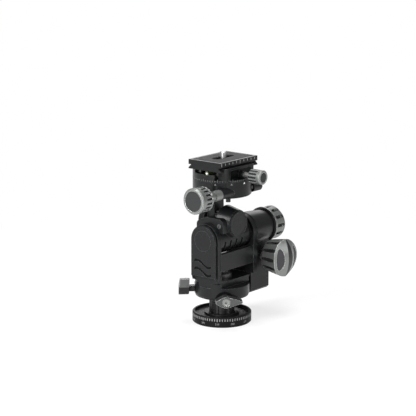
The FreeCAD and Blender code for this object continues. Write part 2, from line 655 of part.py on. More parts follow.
def build_gear_case():
    """Gear case on the right arm: a block under a tapered barrel, with a lid at the back."""
    left = "yoke_inside_right + arm_right"
    right = "case_right"
    body = new_body("case_body", (left, "0", "0"), "x")
    section = outline_sketch(body, "case_section", "XY_Plane", [
        ("case_bottom + case_chamfer", "case_front"), ("case_bottom", "case_front - case_chamfer"),
        ("case_bottom", "case_chamfer - case_back"), ("case_bottom + case_chamfer", "-case_back"),
        ("tilt_axis_height - barrel_end_radius / 2", "-case_back"), ("tilt_axis_height", "0"),
        ("tilt_axis_height - barrel_end_radius / 2", "case_front")])
    feature(body, "Pad", "case_block", section, Length="case_length")
    barrel = taper("barrel", "barrel_root_radius", "barrel_end_radius", "barrel_length",
                   (left, "0", "tilt_axis_height"), "x")
    lid_x = "tilt_worm_x"
    bay = block("train_bay", (left + " + train_bay_start", "-case_front + case_wall", "bay_floor"),
                (right + " - case_wall", "case_back + 1", "bay_floor + lid_height"))
    wheel_space = rod("wheel_space", "tilt_module * (tilt_wheel_teeth / 2 + 1) + 0.5",
                      "wheel_width + 3", ("tilt_worm_x - wheel_width / 2 - 1.5", "lay_y",
                                          lay_height()), "x")
    gear_bay = rod("gear_bay", "gear_bay_radius", "14", (left + " + train_bay_start", "0",
                                                        "tilt_axis_height"), "x")
    trunnion_way = rod("trunnion_way", "trunnion_radius + seat_gap", "case_length + 2",
                       (left + " - 1", "0", "tilt_axis_height"), "x")
    front_bore = rod("worm_front_bore", "worm_shaft_radius + running", "case_wall + 4",
                     ("tilt_worm_x", "-case_front - 1", "tilt_worm_height"), "y")
    lay_bore = rod("lay_bore", "lay_shaft_radius + running", "case_length - 1.6",
                   (left + " + 0.8", "lay_y", lay_height()), "x")
    rebate = block("lid_rebate", (left + " + train_bay_start - lid_margin",
                                  "case_back - lid_thickness", "bay_floor - lid_margin"),
                   (right + " - case_wall + lid_margin * 0.6", "case_back + 1",
                    "bay_floor + lid_height + lid_margin"))
    whole = fuse("case_whole", body, barrel)
    node(cut("case_cut", whole, bay, wheel_space, gear_bay, trunnion_way, front_bore, lay_bore,
             rebate), "gear_case")
    lid = block("lid_plate", (left + " + train_bay_start - lid_margin + push_gap",
                              "case_back - lid_thickness", "bay_floor - lid_margin + push_gap"),
                (right + " - case_wall + lid_margin * 0.6 - push_gap", "case_back",
                 "bay_floor + lid_height + lid_margin - push_gap"))
    seat = rod("lid_boss", "worm_shaft_radius + 2", "3",
               (lid_x, "case_back - lid_thickness - 3", "tilt_worm_height"), "y")
    journal = rod("lid_bore", "worm_shaft_radius - 0.5 + running", "3.6",
                  (lid_x, "case_back - lid_thickness - 3.1", "tilt_worm_height"), "y")
    holes, screws = [], []
    for side, level in (("1", "1"), ("1", "-1"), ("-1", "1"), ("-1", "-1")):
        x = left + " + (case_length + train_bay_start - case_wall) / 2 + %s * lid_screw_x" % side
        z = "bay_floor + lid_height / 2 + %s * lid_screw_z" % level
        holes.append(rod("lid_hole_%s%s" % (side, level), "lid_screw_radius + push_gap",
                         "lid_thickness + 1", (x, "case_back - lid_thickness - 0.5", z), "y"))
        screws.append(rod("lid_screw_%s%s" % (side, level), "lid_screw_radius",
                          "lid_thickness - 0.3", (x, "case_back - lid_thickness", z), "y"))
    node(cut("lid_cut", fuse("lid_whole", lid, seat), journal, *holes), "case_lid")
    node(fuse("lid_screw_set", *screws), "case_lid_screws")
    node(bush("tilt_collar_ring", "worm_shaft_radius + running", "collar_radius",
              "collar_length", ("tilt_worm_x", "-case_front", "tilt_worm_height"), "-y"),
         "tilt_collar")


def lay_height():
    """Height of the layshaft: one worm centre distance above the tilt worm."""
    return "(tilt_worm_height + worm_radius + tilt_module * tilt_wheel_teeth / 2)"


def build_tilt_train():
    """Tilt worm, the layshaft's wheel and pinion, and the big gear on the trunnion."""
    left = size("yoke_inside_right") + size("arm_right")
    worm_x, worm_z, lay_y = size("tilt_worm_x"), size("tilt_worm_height"), size("lay_y")
    lay_z = worm_z + size("worm_radius") + size("tilt_module") * size("tilt_wheel_teeth") / 2
    front, back = size("case_front"), size("case_back") - size("lid_thickness")
    shaft = size("worm_shaft_radius")
    journals = [(shaft, -size("tilt_knob_start") - 8 - lay_y, 0),
                (shaft - 0.5, 0, back - lay_y - 0.3)]
    worm = worm_shape(size("tilt_module"), size("worm_radius"), size("worm_length"), journals)
    solid_feature("tilt_worm", worm, V(worm_x, lay_y, worm_z), facing(V(0, 1, 0), V(0, 0, 1)))
    wheel = wheel_shape(int(size("tilt_wheel_teeth")), size("tilt_module"), size("worm_radius"),
                        size("wheel_width"), size("lay_shaft_radius") + 1)
    solid_feature("lay_wheel", wheel, V(worm_x, lay_y, lay_z), facing(V(1, 0, 0), V(0, 0, -1)))
    tilt_z = size("tilt_axis_height")
    reach = V(0, -lay_y, tilt_z - lay_z)
    pinion_teeth, gear_teeth = int(size("pinion_teeth")), int(size("sector_teeth"))
    module = reach.Length * 2 / (pinion_teeth + gear_teeth)
    toward = reach.normalize()
    width = size("pinion_width")
    middle_x = left + size("pinion_start") + width / 2
    pinion = gear_shape(pinion_teeth, module, width, 0.5, 0.8, 0.0, 180.0 / pinion_teeth)
    core = size("lay_shaft_radius") + 0.98
    start, end = left + 1.2, left + size("case_length") - 1.2
    shaft_shape = Part.makeCylinder(size("lay_shaft_radius"), end - start, V(0, 0, start - middle_x))
    wheel_start = worm_x - size("wheel_width") / 2 - middle_x
    carrier = Part.makeCylinder(core, wheel_start + size("wheel_width") - width / 2,
                                V(0, 0, width / 2))
    pinion = pinion.fuse([shaft_shape, carrier]).removeSplitter()
    solid_feature("lay_pinion", pinion, V(middle_x, lay_y, lay_z), facing(V(1, 0, 0), toward))
    gear = gear_shape(gear_teeth, module, width, size("trunnion_radius") + size("push_gap"), 0.8)
    solid_feature("tilt_gear", gear, V(middle_x, 0, tilt_z),
                  facing(V(1, 0, 0), toward.negative()))


# ---------------------------------------------------------------- knobs

def dome_side(name, side, radius, length):
    """Long cylinder whose skin is one side of a knob's arched roof; side 0 is its ridge."""
    tilt = math.radians(side * size("roof_slope"))
    along, outward = V(0, math.cos(tilt), -math.sin(tilt)), (math.sin(tilt), math.cos(tilt))
    depth = "knob_dome" if side == 0 else "knob_dome * cos(roof_slope)"
    step = "0" if side == 0 else "ridge_step"
    start = ["%s * ridge_width / 2 - (%s) * %r - 60 * %r" % (side, depth, outward[0], along.y),
             "%s - %s - (%s) * %r - 60 * %r" % (length, step, depth, outward[1], along.z)]
    return rod(name, "%s - (%s)" % (depth, radius), "120", ("0", start[0], start[1]),
               rotation=facing(along, V(1, 0, 0)))


def facet_oval(name, side, length, radius, shrink):
    """Oval bar that stands square on one sloping facet of a knob."""
    body = new_body(name)
    middle = "((ridge_width / 2 + %s) / 2)" % radius
    scale = "%s / knob_radius" % radius
    half_height = "(inlay_height * %s / 2 - %s)" % (scale, shrink)
    half_width = "(inlay_width * %s / 2 - %s)" % (scale, shrink)
    oval = outline_sketch(body, name + "_outline", "XY_Plane", [
        ("%s * cos(%d)" % (half_height, turn), "%s * sin(%d)" % (half_width, turn))
        for turn in range(0, 360, 20)])
    oval.AttachmentOffset = FreeCAD.Placement(
        V(0, 0, 0), FreeCAD.Rotation(V(1, 0, 0), -side * size("roof_slope")))
    surface = "%s - ridge_step - (%s - ridge_width / 2) * tan(roof_slope)" % (length, middle)
    bind(oval, **{".AttachmentOffset.Base.y": "%d * %s" % (side, middle),
                  ".AttachmentOffset.Base.z": surface})
    bar = feature(body, "Pad", name + "_bar", oval, Length="10")
    bar.Midplane = True
    return body


def knob_band(name, radius, back, length, shoulder, flange):
    """Turned blank of a knob with a ring of leaf-shaped hollows round its band."""
    edge = "(%s - (%s - ridge_width / 2) * tan(roof_slope) - 1)" % (length, radius)
    outline = [("0", "0"), ("knob_hub", "0")] + flange + [
        (back, shoulder), (radius, edge), (radius, length + " + 1"), ("0", length + " + 1")]
    body = turned(name, outline)
    low, high = "(%s + flute_margin)" % shoulder, "(%s - flute_margin * 2)" % edge
    middle, reach = "(%s + %s) / 2" % (low, high), "(%s - %s) / 2" % (high, low)
    leaf = [(0, -1), (0.75, -0.55), (1, 0), (0.75, 0.55), (0, 1), (-0.75, 0.55), (-1, 0),
            (-0.75, -0.55)]
    hollow = outline_sketch(body, name + "_leaf", "YZ_Plane", [
        ("%s * flute_half_width" % across, "%s + %s * %s" % (middle, up, reach))
        for across, up in leaf])
    bind(hollow, **{".AttachmentOffset.Base.z": radius + " + 1"})
    floor = "1 + (%s - %s) / 2 + flute_sink" % (radius, back)
    first = feature(body, "Pocket", name + "_leaf_cut", hollow, Length=floor)
    repeat_round(body, name + "_leaves", first, "knob_flutes")
    return body


def build_knob(label, at, axis, blank, radius, length, bore):
    """Knob whose arched front slopes away on both sides of a ridge, and its oval inlays."""
    roof = dome_side(label + "_ridge", 0, "0", length)
    recesses, inlays = [], []
    for side in (1, -1):
        tag = "%s_%d" % (label, side + 1)
        roof = common(tag + "_roof", roof, dome_side(tag + "_slope", side, "0", length))
        floor = dome_side(tag + "_floor", side, "inlay_recess", length)
        recesses.append(cut(tag + "_recess", facet_oval(tag + "_mouth", side, length, radius, "0"),
                            floor))
        plate = facet_oval(tag + "_plate", side, length, radius, "push_gap")
        flush = common(tag + "_flush", plate, dome_side(tag + "_skin", side, "inlay_sink", length))
        bed = dome_side(tag + "_bed", side, "inlay_recess - push_gap", length)
        inlays.append(cut(tag + "_inlay", flush, bed))
    hole = rod(label + "_bore", bore + " + push_gap", "8")
    form = cut(label + "_cut", common(label + "_form", blank, roof), hole, *recesses)
    pair = fuse(label + "_inlay_pair", *inlays)
    for thing in (form, pair):
        place(thing, at, axis)
    node(form, label)
    node(pair, label + "_inlays")


def build_tilt_knob():
    """Tilt knob on the front end of the tilt worm's shaft."""
    at = ("tilt_worm_x", "-tilt_knob_start", "tilt_worm_height")
    blank = knob_band("tilt_knob_blank", "knob_radius", "knob_back", "knob_length",
                      "knob_shoulder", [])
    build_knob("tilt_knob", at, "-y", blank, "knob_radius", "knob_length", "worm_shaft_radius")


def roll_module():
    """Module that fills the distance between the tilt and roll axes with worm and wheel."""
    distance = size("roll_axis_height") - size("tilt_axis_height")
    return 2 * (distance - size("roll_worm_radius")) / size("roll_wheel_teeth")


def pan_module():
    """Module that fills the distance between the pan axis and its worm."""
    return 2 * (size("pan_worm_y") - size("pan_worm_radius")) / size("pan_wheel_teeth")


def build_roll_knob():
    """Roll knob at the outer end of the roll worm's shaft, and that shaft."""
    at = ("roll_knob_start", "0", "tilt_axis_height")
    flange = [("roll_knob_flange", "0.6"), ("roll_knob_flange", "roll_flange_thickness"),
              ("roll_knob_back", "roll_flange_thickness")]
    blank = knob_band("roll_knob_blank", "roll_knob_radius", "roll_knob_back",
                      "roll_knob_length", "roll_knob_shoulder", flange)
    build_knob("roll_knob", at, "x", blank, "roll_knob_radius", "roll_knob_length",
               "knob_shaft_radius")
    half = size("roll_worm_length") / 2
    journals = [(size("knob_shaft_radius"), half, size("roll_knob_start") + 8),
                (size("worm_shaft_radius"), -half - 4, 0)]
    worm = worm_shape(roll_module(), size("roll_worm_radius"), size("roll_worm_length"), journals)
    solid_feature("roll_worm", worm, V(0, 0, size("tilt_axis_height")),
                  facing(V(1, 0, 0), V(0, 0, 1)))


# ---------------------------------------------------------------- cradle

def build_cradle():
    """Cradle that tilts between the arms and carries the roll axis above it."""
    axis = "tilt_axis_height"
    low_x, high_x = "-yoke_inside_left + seat_gap", "yoke_inside_right - seat_gap"
    drum = rod("drum", "drum_radius", "drum_step_x + yoke_inside_left - seat_gap",
               (low_x, "0", axis), "x")
    drum_end = rod("drum_end", "drum_radius - drum_step",
                   "yoke_inside_right + yoke_inside_left - 2 * seat_gap", (low_x, "0", axis), "x")
    ear = block("ear", (low_x, "-ear_front + ear_round", axis),
                (low_x + " + ear_thickness", "1", "ear_top"))
    ear_back = round_back("ear_back", low_x, "ear_top")
    ear_tip = block("ear_tip", (low_x, "-ear_front", "ear_top - 2.2 * ear_round"),
                    (low_x + " + ear_thickness", "-ear_front + ear_round + 1",
                     "ear_top - ear_round"))
    ear_corner = rod("ear_corner", "ear_round", "ear_thickness",
                     (low_x, "-ear_front + ear_round", "ear_top - ear_round"), "x")
    far_ear = block("far_ear", ("roll_bay_half", "-nose_root_y - 2", axis),
                    ("roll_bay_half + ear_thickness", "1", "ear_top - 3"))
    far_back = round_back("far_back", "roll_bay_half", "ear_top - 3")
    nose = taper("nose", "nose_root_radius", "nose_tip_radius", "nose_tip_y - nose_root_y",
                 ("0", "-nose_root_y", "roll_axis_height"), "-y")
    rear = rod("rear_bearing", "rear_bearing_radius", "rear_bearing_length",
               ("0", "rear_bearing_y", "roll_axis_height"), "y")
    rear_web = block("rear_web", ("-rear_bearing_radius", "drum_radius - 5", axis),
                     ("rear_bearing_radius", "rear_bearing_y + rear_bearing_length",
                      "roll_axis_height"))
    ties = block("cradle_ties", (low_x, "-nose_root_y - 4", axis),
                 ("roll_bay_half + 1", "-nose_root_y", "roll_axis_height"))
    back_tie = block("back_tie", (low_x, "rear_bearing_y", axis),
                     ("roll_bay_half + ear_thickness", "drum_radius - 1 + 0.5",
                      "roll_axis_height"))
    solid = fuse("cradle_solid", drum, drum_end, ear, ear_back, ear_tip, ear_corner, far_ear,
                 far_back, nose, rear, rear_web, ties, back_tie)
    wheel_tip = ("((roll_axis_height - tilt_axis_height - roll_worm_radius)"
                 " * (1 + 1.8 / roll_wheel_teeth))")
    bay = block("roll_bay", ("-roll_bay_half", "-nose_root_y + 0.01",
                             "roll_axis_height - %s - 0.5" % wheel_tip),
                ("roll_bay_half", "rear_bearing_y - 0.01", "ear_top + 20"))
    worm_way = rod("worm_way", "trunnion_bore", "yoke_inside_right + roll_worm_length / 2 + 1",
                   ("-roll_worm_length / 2 - 1", "0", axis), "x")
    worm_end = rod("worm_end", "worm_shaft_radius + running", "6",
                   ("-roll_worm_length / 2 - 5.6", "0", axis), "x")
    pin_bore = rod("pin_bore", "tilt_pin_radius + push_gap", "3",
                   (low_x + " - 0.01", "0", axis), "x")
    trunnion_seat = rod("trunnion_seat", "trunnion_radius + push_gap", "8",
                        (high_x + " - 5", "0", axis), "x")
    shaft_bore = rod("shaft_bore", "roll_shaft_radius + running",
                     "nose_tip_y + rear_bearing_y + rear_bearing_length",
                     ("0", "-nose_tip_y + 1.5", "roll_axis_height"), "y")
    screw_bore = rod("ear_screw_bore", "ear_screw_radius - 0.5 + push_gap", "6",
                     (low_x + " - 1", "-ear_screw_y", "ear_screw_height"), "x")
    grooves = [bush("rib_groove_%d" % step, "drum_radius - groove_depth", "drum_radius + 2",
                    "groove_width", ("groove_first_x + groove_pitch * %d - groove_width / 2"
                                     % step, "0", axis))
               for step in range(int(size("groove_count")))]
    front_half = block("groove_reach", ("-yoke_inside_left", "-drum_radius - 4", axis
                                        + " - drum_radius - 4"),
                       ("yoke_inside_right", "drum_radius - 2", axis + " - 1"))
    front_grooves = common("front_grooves", fuse("rib_grooves", *grooves), front_half)
    node(cut("cradle_cut", solid, bay, worm_way, worm_end, pin_bore, trunnion_seat, shaft_bore,
             screw_bore, front_grooves), "cradle")
    pin = rod("tilt_pin_rod", "tilt_pin_radius", "arm_left + seat_gap + 2.7",
              ("-yoke_inside_left - arm_left + 0.2", "0", axis), "x")
    node(pin, "tilt_pin")
    node(bush("trunnion_tube", "trunnion_bore", "trunnion_radius",
              "barrel_length + arm_right + 3.6", (high_x + " - 4.9", "0", axis)), "tilt_trunnion")
    node(bush("shaft_bush_ring", "knob_shaft_radius + running", "trunnion_bore - push_gap", "6",
              (high_x + " + barrel_length + arm_right - 7.4", "0", axis)), "shaft_bush")
    cap = turned("cap_body", [
        ("0", "0"), ("cap_radius", "0"), ("cap_radius", "cap_thickness - 0.5"),
        ("cap_radius - 0.5", "cap_thickness"), ("0", "cap_thickness")],
        ("0", "-nose_tip_y", "roll_axis_height"), "-y")
    node(cap, "nose_cap")
    spot = ("-ear_screw_y", "ear_screw_height")
    head = rod("ear_screw_head", "ear_screw_radius", "0.25", (low_x + " - 0.25",) + spot, "x")
    shank = rod("ear_screw_shank", "ear_screw_radius - 0.5", "5", (low_x,) + spot, "x")
    socket = rod("ear_screw_socket", "ear_screw_radius * 0.5", "1.2", (low_x + " - 0.3",) + spot,
                 "x")
    node(cut("ear_screw_cut", fuse("ear_screw_whole", head, shank), socket), "ear_screw")


def round_back(name, start, top):
    """Rear half of a cradle ear, rounded about the tilt axis."""
    half = block(name + "_half", (start, "0", "tilt_axis_height"),
                 (start + " + ear_thickness", "drum_radius - 1", top))
    disc = rod(name + "_disc", "%s - tilt_axis_height" % top, "ear_thickness",
               (start, "0", "tilt_axis_height"), "x")
    return common(name, half, disc)


# ---------------------------------------------------------------- saddle and pan unit

def build_saddle():
    """Roll shaft, wheel and neck that carry the pan unit."""
    height = "roll_axis_height"
    node(rod("roll_shaft_rod", "roll_shaft_radius",
             "nose_tip_y + rear_bearing_y + rear_bearing_length - 3",
             ("0", "-nose_tip_y + 2", height), "y"), "roll_shaft")
    wheel = wheel_shape(int(size("roll_wheel_teeth")), roll_module(),
                        size("roll_worm_radius"), size("wheel_width"),
                        size("roll_shaft_radius") + size("push_gap"))
    solid_feature("roll_wheel", wheel, V(0, 0, size(height)), facing(V(0, 1, 0), V(0, 0, -1)))
    stem = block("neck_stem", ("-neck_half_width", "neck_front", height),
                 ("neck_half_width", "neck_back", "pan_bottom"))
    eye = rod("neck_eye", "neck_half_width", "neck_back - neck_front", ("0", "neck_front", height),
              "y")
    flange = rod("neck_flange", "neck_flange_radius", "neck_flange_thickness",
                 ("0", "0", "pan_bottom - neck_flange_thickness"))
    bores = [rod("neck_bore_shaft", "roll_shaft_radius + push_gap", "40", ("0", "-20", height),
                 "y")]
    screws = []
    for turn in (20, 160, 200, 340):
        at = ("neck_screw_ring * cos(%d)" % turn, "neck_screw_ring * sin(%d)" % turn)
        bottom = "pan_bottom - neck_flange_thickness"
        bores.append(rod("neck_hole_%d" % turn, "neck_screw_radius + push_gap", "9",
                         at + (bottom + " - 1",)))
        shank = rod("neck_shank_%d" % turn, "neck_screw_radius", "neck_flange_thickness + 2",
                    at + (bottom,))
        head = rod("neck_head_%d" % turn, "neck_screw_radius * 1.7", "1.6",
                   at + (bottom + " - 1.6",))
        screws.append(fuse("neck_bolt_%d" % turn, shank, head))
    node(cut("neck_cut", fuse("neck_whole", stem, eye, flange), *bores), "roll_neck")
    node(fuse("neck_bolts", *screws), "neck_screws")


def build_pan_stator():
    """Fixed half of the pan unit, with the worm's tunnel and the central post."""
    floor = "pan_bottom + pan_floor"
    shell = turned("stator_blank", [
        ("0", "pan_bottom"), ("pan_radius - 0.8", "pan_bottom"), ("pan_radius", "pan_bottom + 0.8"),
        ("pan_radius", "pan_seam"), ("pan_bay_radius", "pan_seam"), ("pan_bay_radius", floor),
        ("pan_post_radius", floor), ("pan_post_radius", "pan_seam - 2"), ("0", "pan_seam - 2")])
    tunnel = rod("worm_tunnel", "worm_tunnel_radius", "pan_radius + pan_worm_length / 2 + 1",
                 ("-pan_radius", "-pan_worm_y", "pan_worm_height"), "x")
    journal = rod("worm_journal", "pan_shaft_radius + running", "40",
                  ("0", "-pan_worm_y", "pan_worm_height"), "x")
    holes = [rod("stator_hole_%d" % turn, "neck_screw_radius + push_gap", "2.2",
                 ("neck_screw_ring * cos(%d)" % turn, "neck_screw_ring * sin(%d)" % turn,
                  "pan_bottom - 0.1")) for turn in (20, 160, 200, 340)]
    scallops = [rod("scallop_%d" % turn, "3.4", "pan_seam - pan_bottom - 5",
                    ("(pan_radius + 2.6) * cos(%d)" % turn, "(pan_radius + 2.6) * sin(%d)" % turn,
                     "pan_bottom + 5.1")) for turn in (205, 228)]
    preload = rod("preload_hole", "preload_screw_radius + push_gap", "3.2",
                  ("-12", "-17", "pan_bottom - 1"))
    node(cut("stator_cut", shell, tunnel, journal, preload, *holes, *scallops), "pan_stator")
    node(rod("preload_rod", "preload_screw_radius", "4.6", ("-12", "-17", "pan_bottom - 4")),
         "preload_screw")
    boss = bush("boss_ring", "pan_shaft_radius + running", "worm_tunnel_radius - push_gap",
                "boss_start - pan_worm_length / 2 - 2",
                ("-boss_start", "-pan_worm_y", "pan_worm_height"))
    node(boss, "worm_boss")
    cap = turned("end_cap_body", [
        ("pan_shaft_radius + running", "0"), ("end_cap_radius", "0"),
        ("end_cap_radius", "end_cap_reach - pan_radius * 0.66 - 1.2"),
        ("end_cap_radius - 1.2", "end_cap_reach - pan_radius * 0.66"),
        ("0", "end_cap_reach - pan_radius * 0.66"),
        ("0", "end_cap_reach - pan_radius * 0.66 - 3"),
        ("pan_shaft_radius + running", "end_cap_reach - pan_radius * 0.66 - 3")],
        ("pan_radius * 0.66", "-pan_worm_y", "pan_worm_height"), "x")
    outside = rod("cap_trim", "pan_radius + push_gap", "30", ("0", "0", "pan_bottom - 5"))
    node(cut("end_cap_cut", cap, outside), "worm_end_cap")


def build_pan_knob():
    """Pan worm, its sleeve and knob, and the dark disc in the knob's face."""
    height = size("pan_worm_height")
    half = size("pan_worm_length") / 2
    start = -size("pan_knob_start") - 6
    shaft = size("pan_shaft_radius")
    journals = [(shaft, start, 0), (shaft, 0, size("end_cap_reach") - 4)]
    worm = worm_shape(pan_module(), size("pan_worm_radius"), 2 * half, journals)
    solid_feature("pan_worm", worm, V(0, -size("pan_worm_y"), height),
                  facing(V(1, 0, 0), V(0, 1, 0)))
    at = ("-boss_start - seat_gap", "-pan_worm_y", "pan_worm_height")
    sleeve = "pan_knob_start - boss_start - seat_gap"
    length = sleeve + " + pan_knob_length"
    body = turned("pan_knob_body", [
        ("pan_shaft_radius + push_gap", "0"), ("sleeve_radius", "0"), ("sleeve_radius", sleeve),
        ("pan_knob_radius - 1.5", sleeve), ("pan_knob_radius - 0.5", sleeve + " + 1"),
        ("pan_knob_radius - 0.5", length + " - 4.6"), ("pan_knob_radius", length + " - 3.8"),
        ("pan_knob_radius", length + " - 1"), ("pan_knob_radius - 1", length),
        ("pan_insert_radius", length), ("pan_insert_radius", length + " - insert_thickness"),
        ("0", length + " - insert_thickness"), ("0", sleeve + " + 6.2"),
        ("pan_shaft_radius + push_gap", sleeve + " + 6.2")], at, "-x")
    slot = outline_sketch(body, "slot_outline", "XY_Plane", [
        ("pan_knob_radius - 0.5 - slot_depth", "-slot_width / 2"),
        ("pan_knob_radius + 2", "-slot_width / 2"), ("pan_knob_radius + 2", "slot_width / 2"),
        ("pan_knob_radius - 0.5 - slot_depth", "slot_width / 2")])
    bind(slot, **{".AttachmentOffset.Base.z": sleeve + " + 1.6"})
    first = pocket_up(body, "slot_cut", slot, "pan_knob_length - 8")
    repeat_round(body, "slots", first, "pan_knob_slots")
    node(body, "pan_knob")
    disc = turned("pan_insert_body", [
        ("0", "0"), ("pan_insert_radius - push_gap", "0"),
        ("pan_insert_radius - push_gap", "insert_thickness - 0.2"), ("0", "insert_thickness - 0.2")],
        ("-pan_knob_start - pan_knob_length + insert_thickness", "-pan_worm_y",
         "pan_worm_height"), "-x")
    node(disc, "pan_knob_insert")


def build_pan_rotor():
    """Turning half of the pan unit: clamp body with the fixed jaw, and its worm wheel."""
    floor = "clamp_floor"
    disc = turned("rotor_blank", [
        ("pan_post_radius + running", "pan_bottom + pan_floor + 0.6"),
        ("pan_hub_radius", "pan_bottom + pan_floor + 0.6"), ("pan_hub_radius", "pan_seam + seat_gap"),
        ("pan_radius", "pan_seam + seat_gap"), ("pan_radius", floor),
        ("pan_post_radius + 2.5", floor), ("pan_post_radius + 2.5", "pan_seam - 2"),
        ("pan_post_radius + running", "pan_seam - 2")])
    shell = rod("clamp_round", "pan_radius", "30", ("0", "0", "pan_seam"))
    jaw = jaw_body("rear_jaw", "1", "clamp_half_length")
    rear = common("rear_jaw_round", jaw, shell)
    jaw_space = block("jaw_space", ("-pan_radius - 1", "-pan_radius - 1", "jaw_foot - running"),
                      ("pan_radius + 1", "-jaw_split_y", floor + " + 1"))
    screw_bore = rod("clamp_thread_bore", "clamp_screw_radius + running", "jaw_split_y + 1",
                     ("clamp_screw_x", "-jaw_split_y - 1", "clamp_screw_height"), "y")
    pin_bores = [rod("pin_bore_%s" % side, "guide_pin_radius + push_gap", "10",
                     ("%s * guide_pin_x" % side, "-jaw_split_y - 1", "guide_pin_height"), "y")
                 for side in ("1", "-1")]
    whole = fuse("clamp_whole", disc, rear)
    level_bed = rod("level_bed", "level_radius + push_gap", "level_length",
                    ("-pan_radius - 1", "-2", "clamp_floor + 0.8"), "x")
    node(cut("clamp_cut", whole, jaw_space, screw_bore, level_bed, *pin_bores), "clamp_body")
    pins = [rod("guide_pin_%s" % side, "guide_pin_radius", "14",
                ("%s * guide_pin_x" % side, "-jaw_split_y - 8", "guide_pin_height"), "y")
            for side in ("1", "-1")]
    node(fuse("guide_pin_pair", *pins), "guide_pins")
    node(rod("level_vial", "level_radius", "level_length - 4", ("-pan_radius + 2.6", "-2",
                                                               "clamp_floor + 0.8"), "x"),
         "bubble_level")
    wheel = wheel_shape(int(size("pan_wheel_teeth")), pan_module(), size("pan_worm_radius"),
                        size("wheel_width"), size("pan_hub_radius") + size("push_gap"))
    solid_feature("pan_wheel", wheel, V(0, 0, size("pan_worm_height")),
                  facing(V(0, 0, 1), V(0, -1, 0)))
    head = rod("retainer_head", "pan_post_radius + 2", "3", ("0", "0", "pan_seam - 2 + running"))
    socket = rod("retainer_socket", "2", "3", ("0", "0", "pan_seam - 0.4"))
    node(cut("retainer_cut", head, socket), "pan_retainer")


def jaw_body(name, side, half_length):
    """Dovetail jaw as a bar along X; side is 1 for the rear jaw and -1 for the front jaw."""
    body = new_body(name, ("-" + half_length, "0", "0"), "x")
    flank = "plate_half_width + running"
    knee = "(plate_bottom + plate_foot + running)"
    lip = "-%s * (%s - (jaw_top - 0.4 - %s))" % (side, flank, knee)
    outer = "-%s * jaw_outer_y" % side
    inner = "-%s * (jaw_split_y + 1.4)" % side
    section = outline_sketch(body, name + "_section", "XY_Plane", [
        ("jaw_foot", outer), ("jaw_foot", inner), ("jaw_seat", inner),
        ("jaw_seat", "-%s * (%s)" % (side, flank)), (knee, "-%s * (%s)" % (side, flank)),
        ("jaw_top - 0.4", lip), ("jaw_top", lip), ("jaw_top", outer)])
    feature(body, "Pad", name + "_bar", section, Length="2 * " + half_length)
    return body


def build_clamp_jaw():
    """Moving front jaw, scooped out in front so that only its lip stands proud."""
    half = "front_jaw_half_length"
    bar = jaw_body("front_jaw", "-1", half)
    round_front = new_body("jaw_front", ("0", "0", "jaw_foot - 1"))
    corner = [("0", "jaw_corner"), ("0.12 * jaw_corner", "0.62 * jaw_corner"),
              ("0.38 * jaw_corner", "0.25 * jaw_corner"), ("0.7 * jaw_corner", "0.06 * jaw_corner"),
              ("jaw_corner", "0")]
    front = [("-%s + %s" % (half, x), "-jaw_outer_y + " + y) for x, y in corner]
    front += [("%s - %s" % (half, x), "-jaw_outer_y + " + y) for x, y in reversed(corner)]
    outline = outline_sketch(round_front, "jaw_front_outline", "XY_Plane",
                             front + [(half, "0"), ("-" + half, "0")])
    feature(round_front, "Pad", "jaw_front_pad", outline, Length="jaw_top - jaw_foot + 2")
    scoop = rod("scoop", "jaw_scoop_radius", "jaw_top - jaw_lip - jaw_foot",
                ("0", "-jaw_outer_y - jaw_scoop_radius + 5", "jaw_foot - 0.01"))
    keep = rod("scoop_keep", "clamp_sleeve_radius + 1", "20",
               ("clamp_screw_x", "-jaw_outer_y", "clamp_screw_height"), "y")
    hollow = cut("scoop_hollow", scoop, keep)
    screw_way = rod("jaw_screw_way", "clamp_screw_radius + running", "30",
                    ("clamp_screw_x", "-jaw_outer_y - 1", "clamp_screw_height"), "y")
    pin_ways = [rod("jaw_pin_way_%s" % side, "guide_pin_radius + running", "30",
                    ("%s * guide_pin_x" % side, "-jaw_split_y - 8.3", "guide_pin_height"), "y")
                for side in ("1", "-1")]
    solid = common("front_jaw_round", bar, round_front)
    node(cut("front_jaw_cut", solid, hollow, screw_way, *pin_ways), "clamp_jaw")


def build_clamp_knob():
    """Clamp knob with its sleeve, dark inlay and screw."""
    height = "clamp_screw_height"
    start = "jaw_outer_y + 0.1"
    sleeve = "clamp_knob_start - jaw_outer_y - 0.1"
    length = sleeve + " + clamp_knob_length"
    body = turned("clamp_knob_body", [
        ("clamp_screw_radius + push_gap", "0"), ("clamp_sleeve_radius", "0"),
        ("clamp_sleeve_radius", sleeve), ("clamp_knob_radius - 0.8", sleeve),
        ("clamp_knob_radius", sleeve + " + 0.8"), ("clamp_knob_radius", length + " - 0.8"),
        ("clamp_knob_radius - 0.8", length), ("clamp_insert_radius", length),
        ("clamp_insert_radius", length + " - insert_thickness"),
        ("0", length + " - insert_thickness"), ("0", sleeve + " + 6"),
        ("clamp_screw_radius + push_gap", sleeve + " + 6")],
        ("clamp_screw_x", "-(%s)" % start, height), "-y")
    flute = circle_sketch(body, "clamp_flute", "XY_Plane", [("clamp_knob_radius + 0.9", "0")], "1.6")
    bind(flute, **{".AttachmentOffset.Base.z": sleeve + " - 1"})
    first = pocket_up(body, "clamp_flute_cut", flute, "clamp_knob_length - 3")
    repeat_round(body, "clamp_flutes", first, "clamp_knob_flutes")
    node(body, "clamp_knob")
    disc = rod("clamp_insert_disc", "clamp_insert_radius - push_gap", "insert_thickness - 0.2",
               ("clamp_screw_x", "-clamp_knob_start - clamp_knob_length + insert_thickness", height),
               "-y")
    node(disc, "clamp_knob_insert")
    node(rod("clamp_screw_rod", "clamp_screw_radius", "clamp_knob_start + 5.9 - jaw_split_y + 7",
             ("clamp_screw_x", "-clamp_knob_start - 5.9", height), "y"), "clamp_screw")


# ---------------------------------------------------------------- camera plate

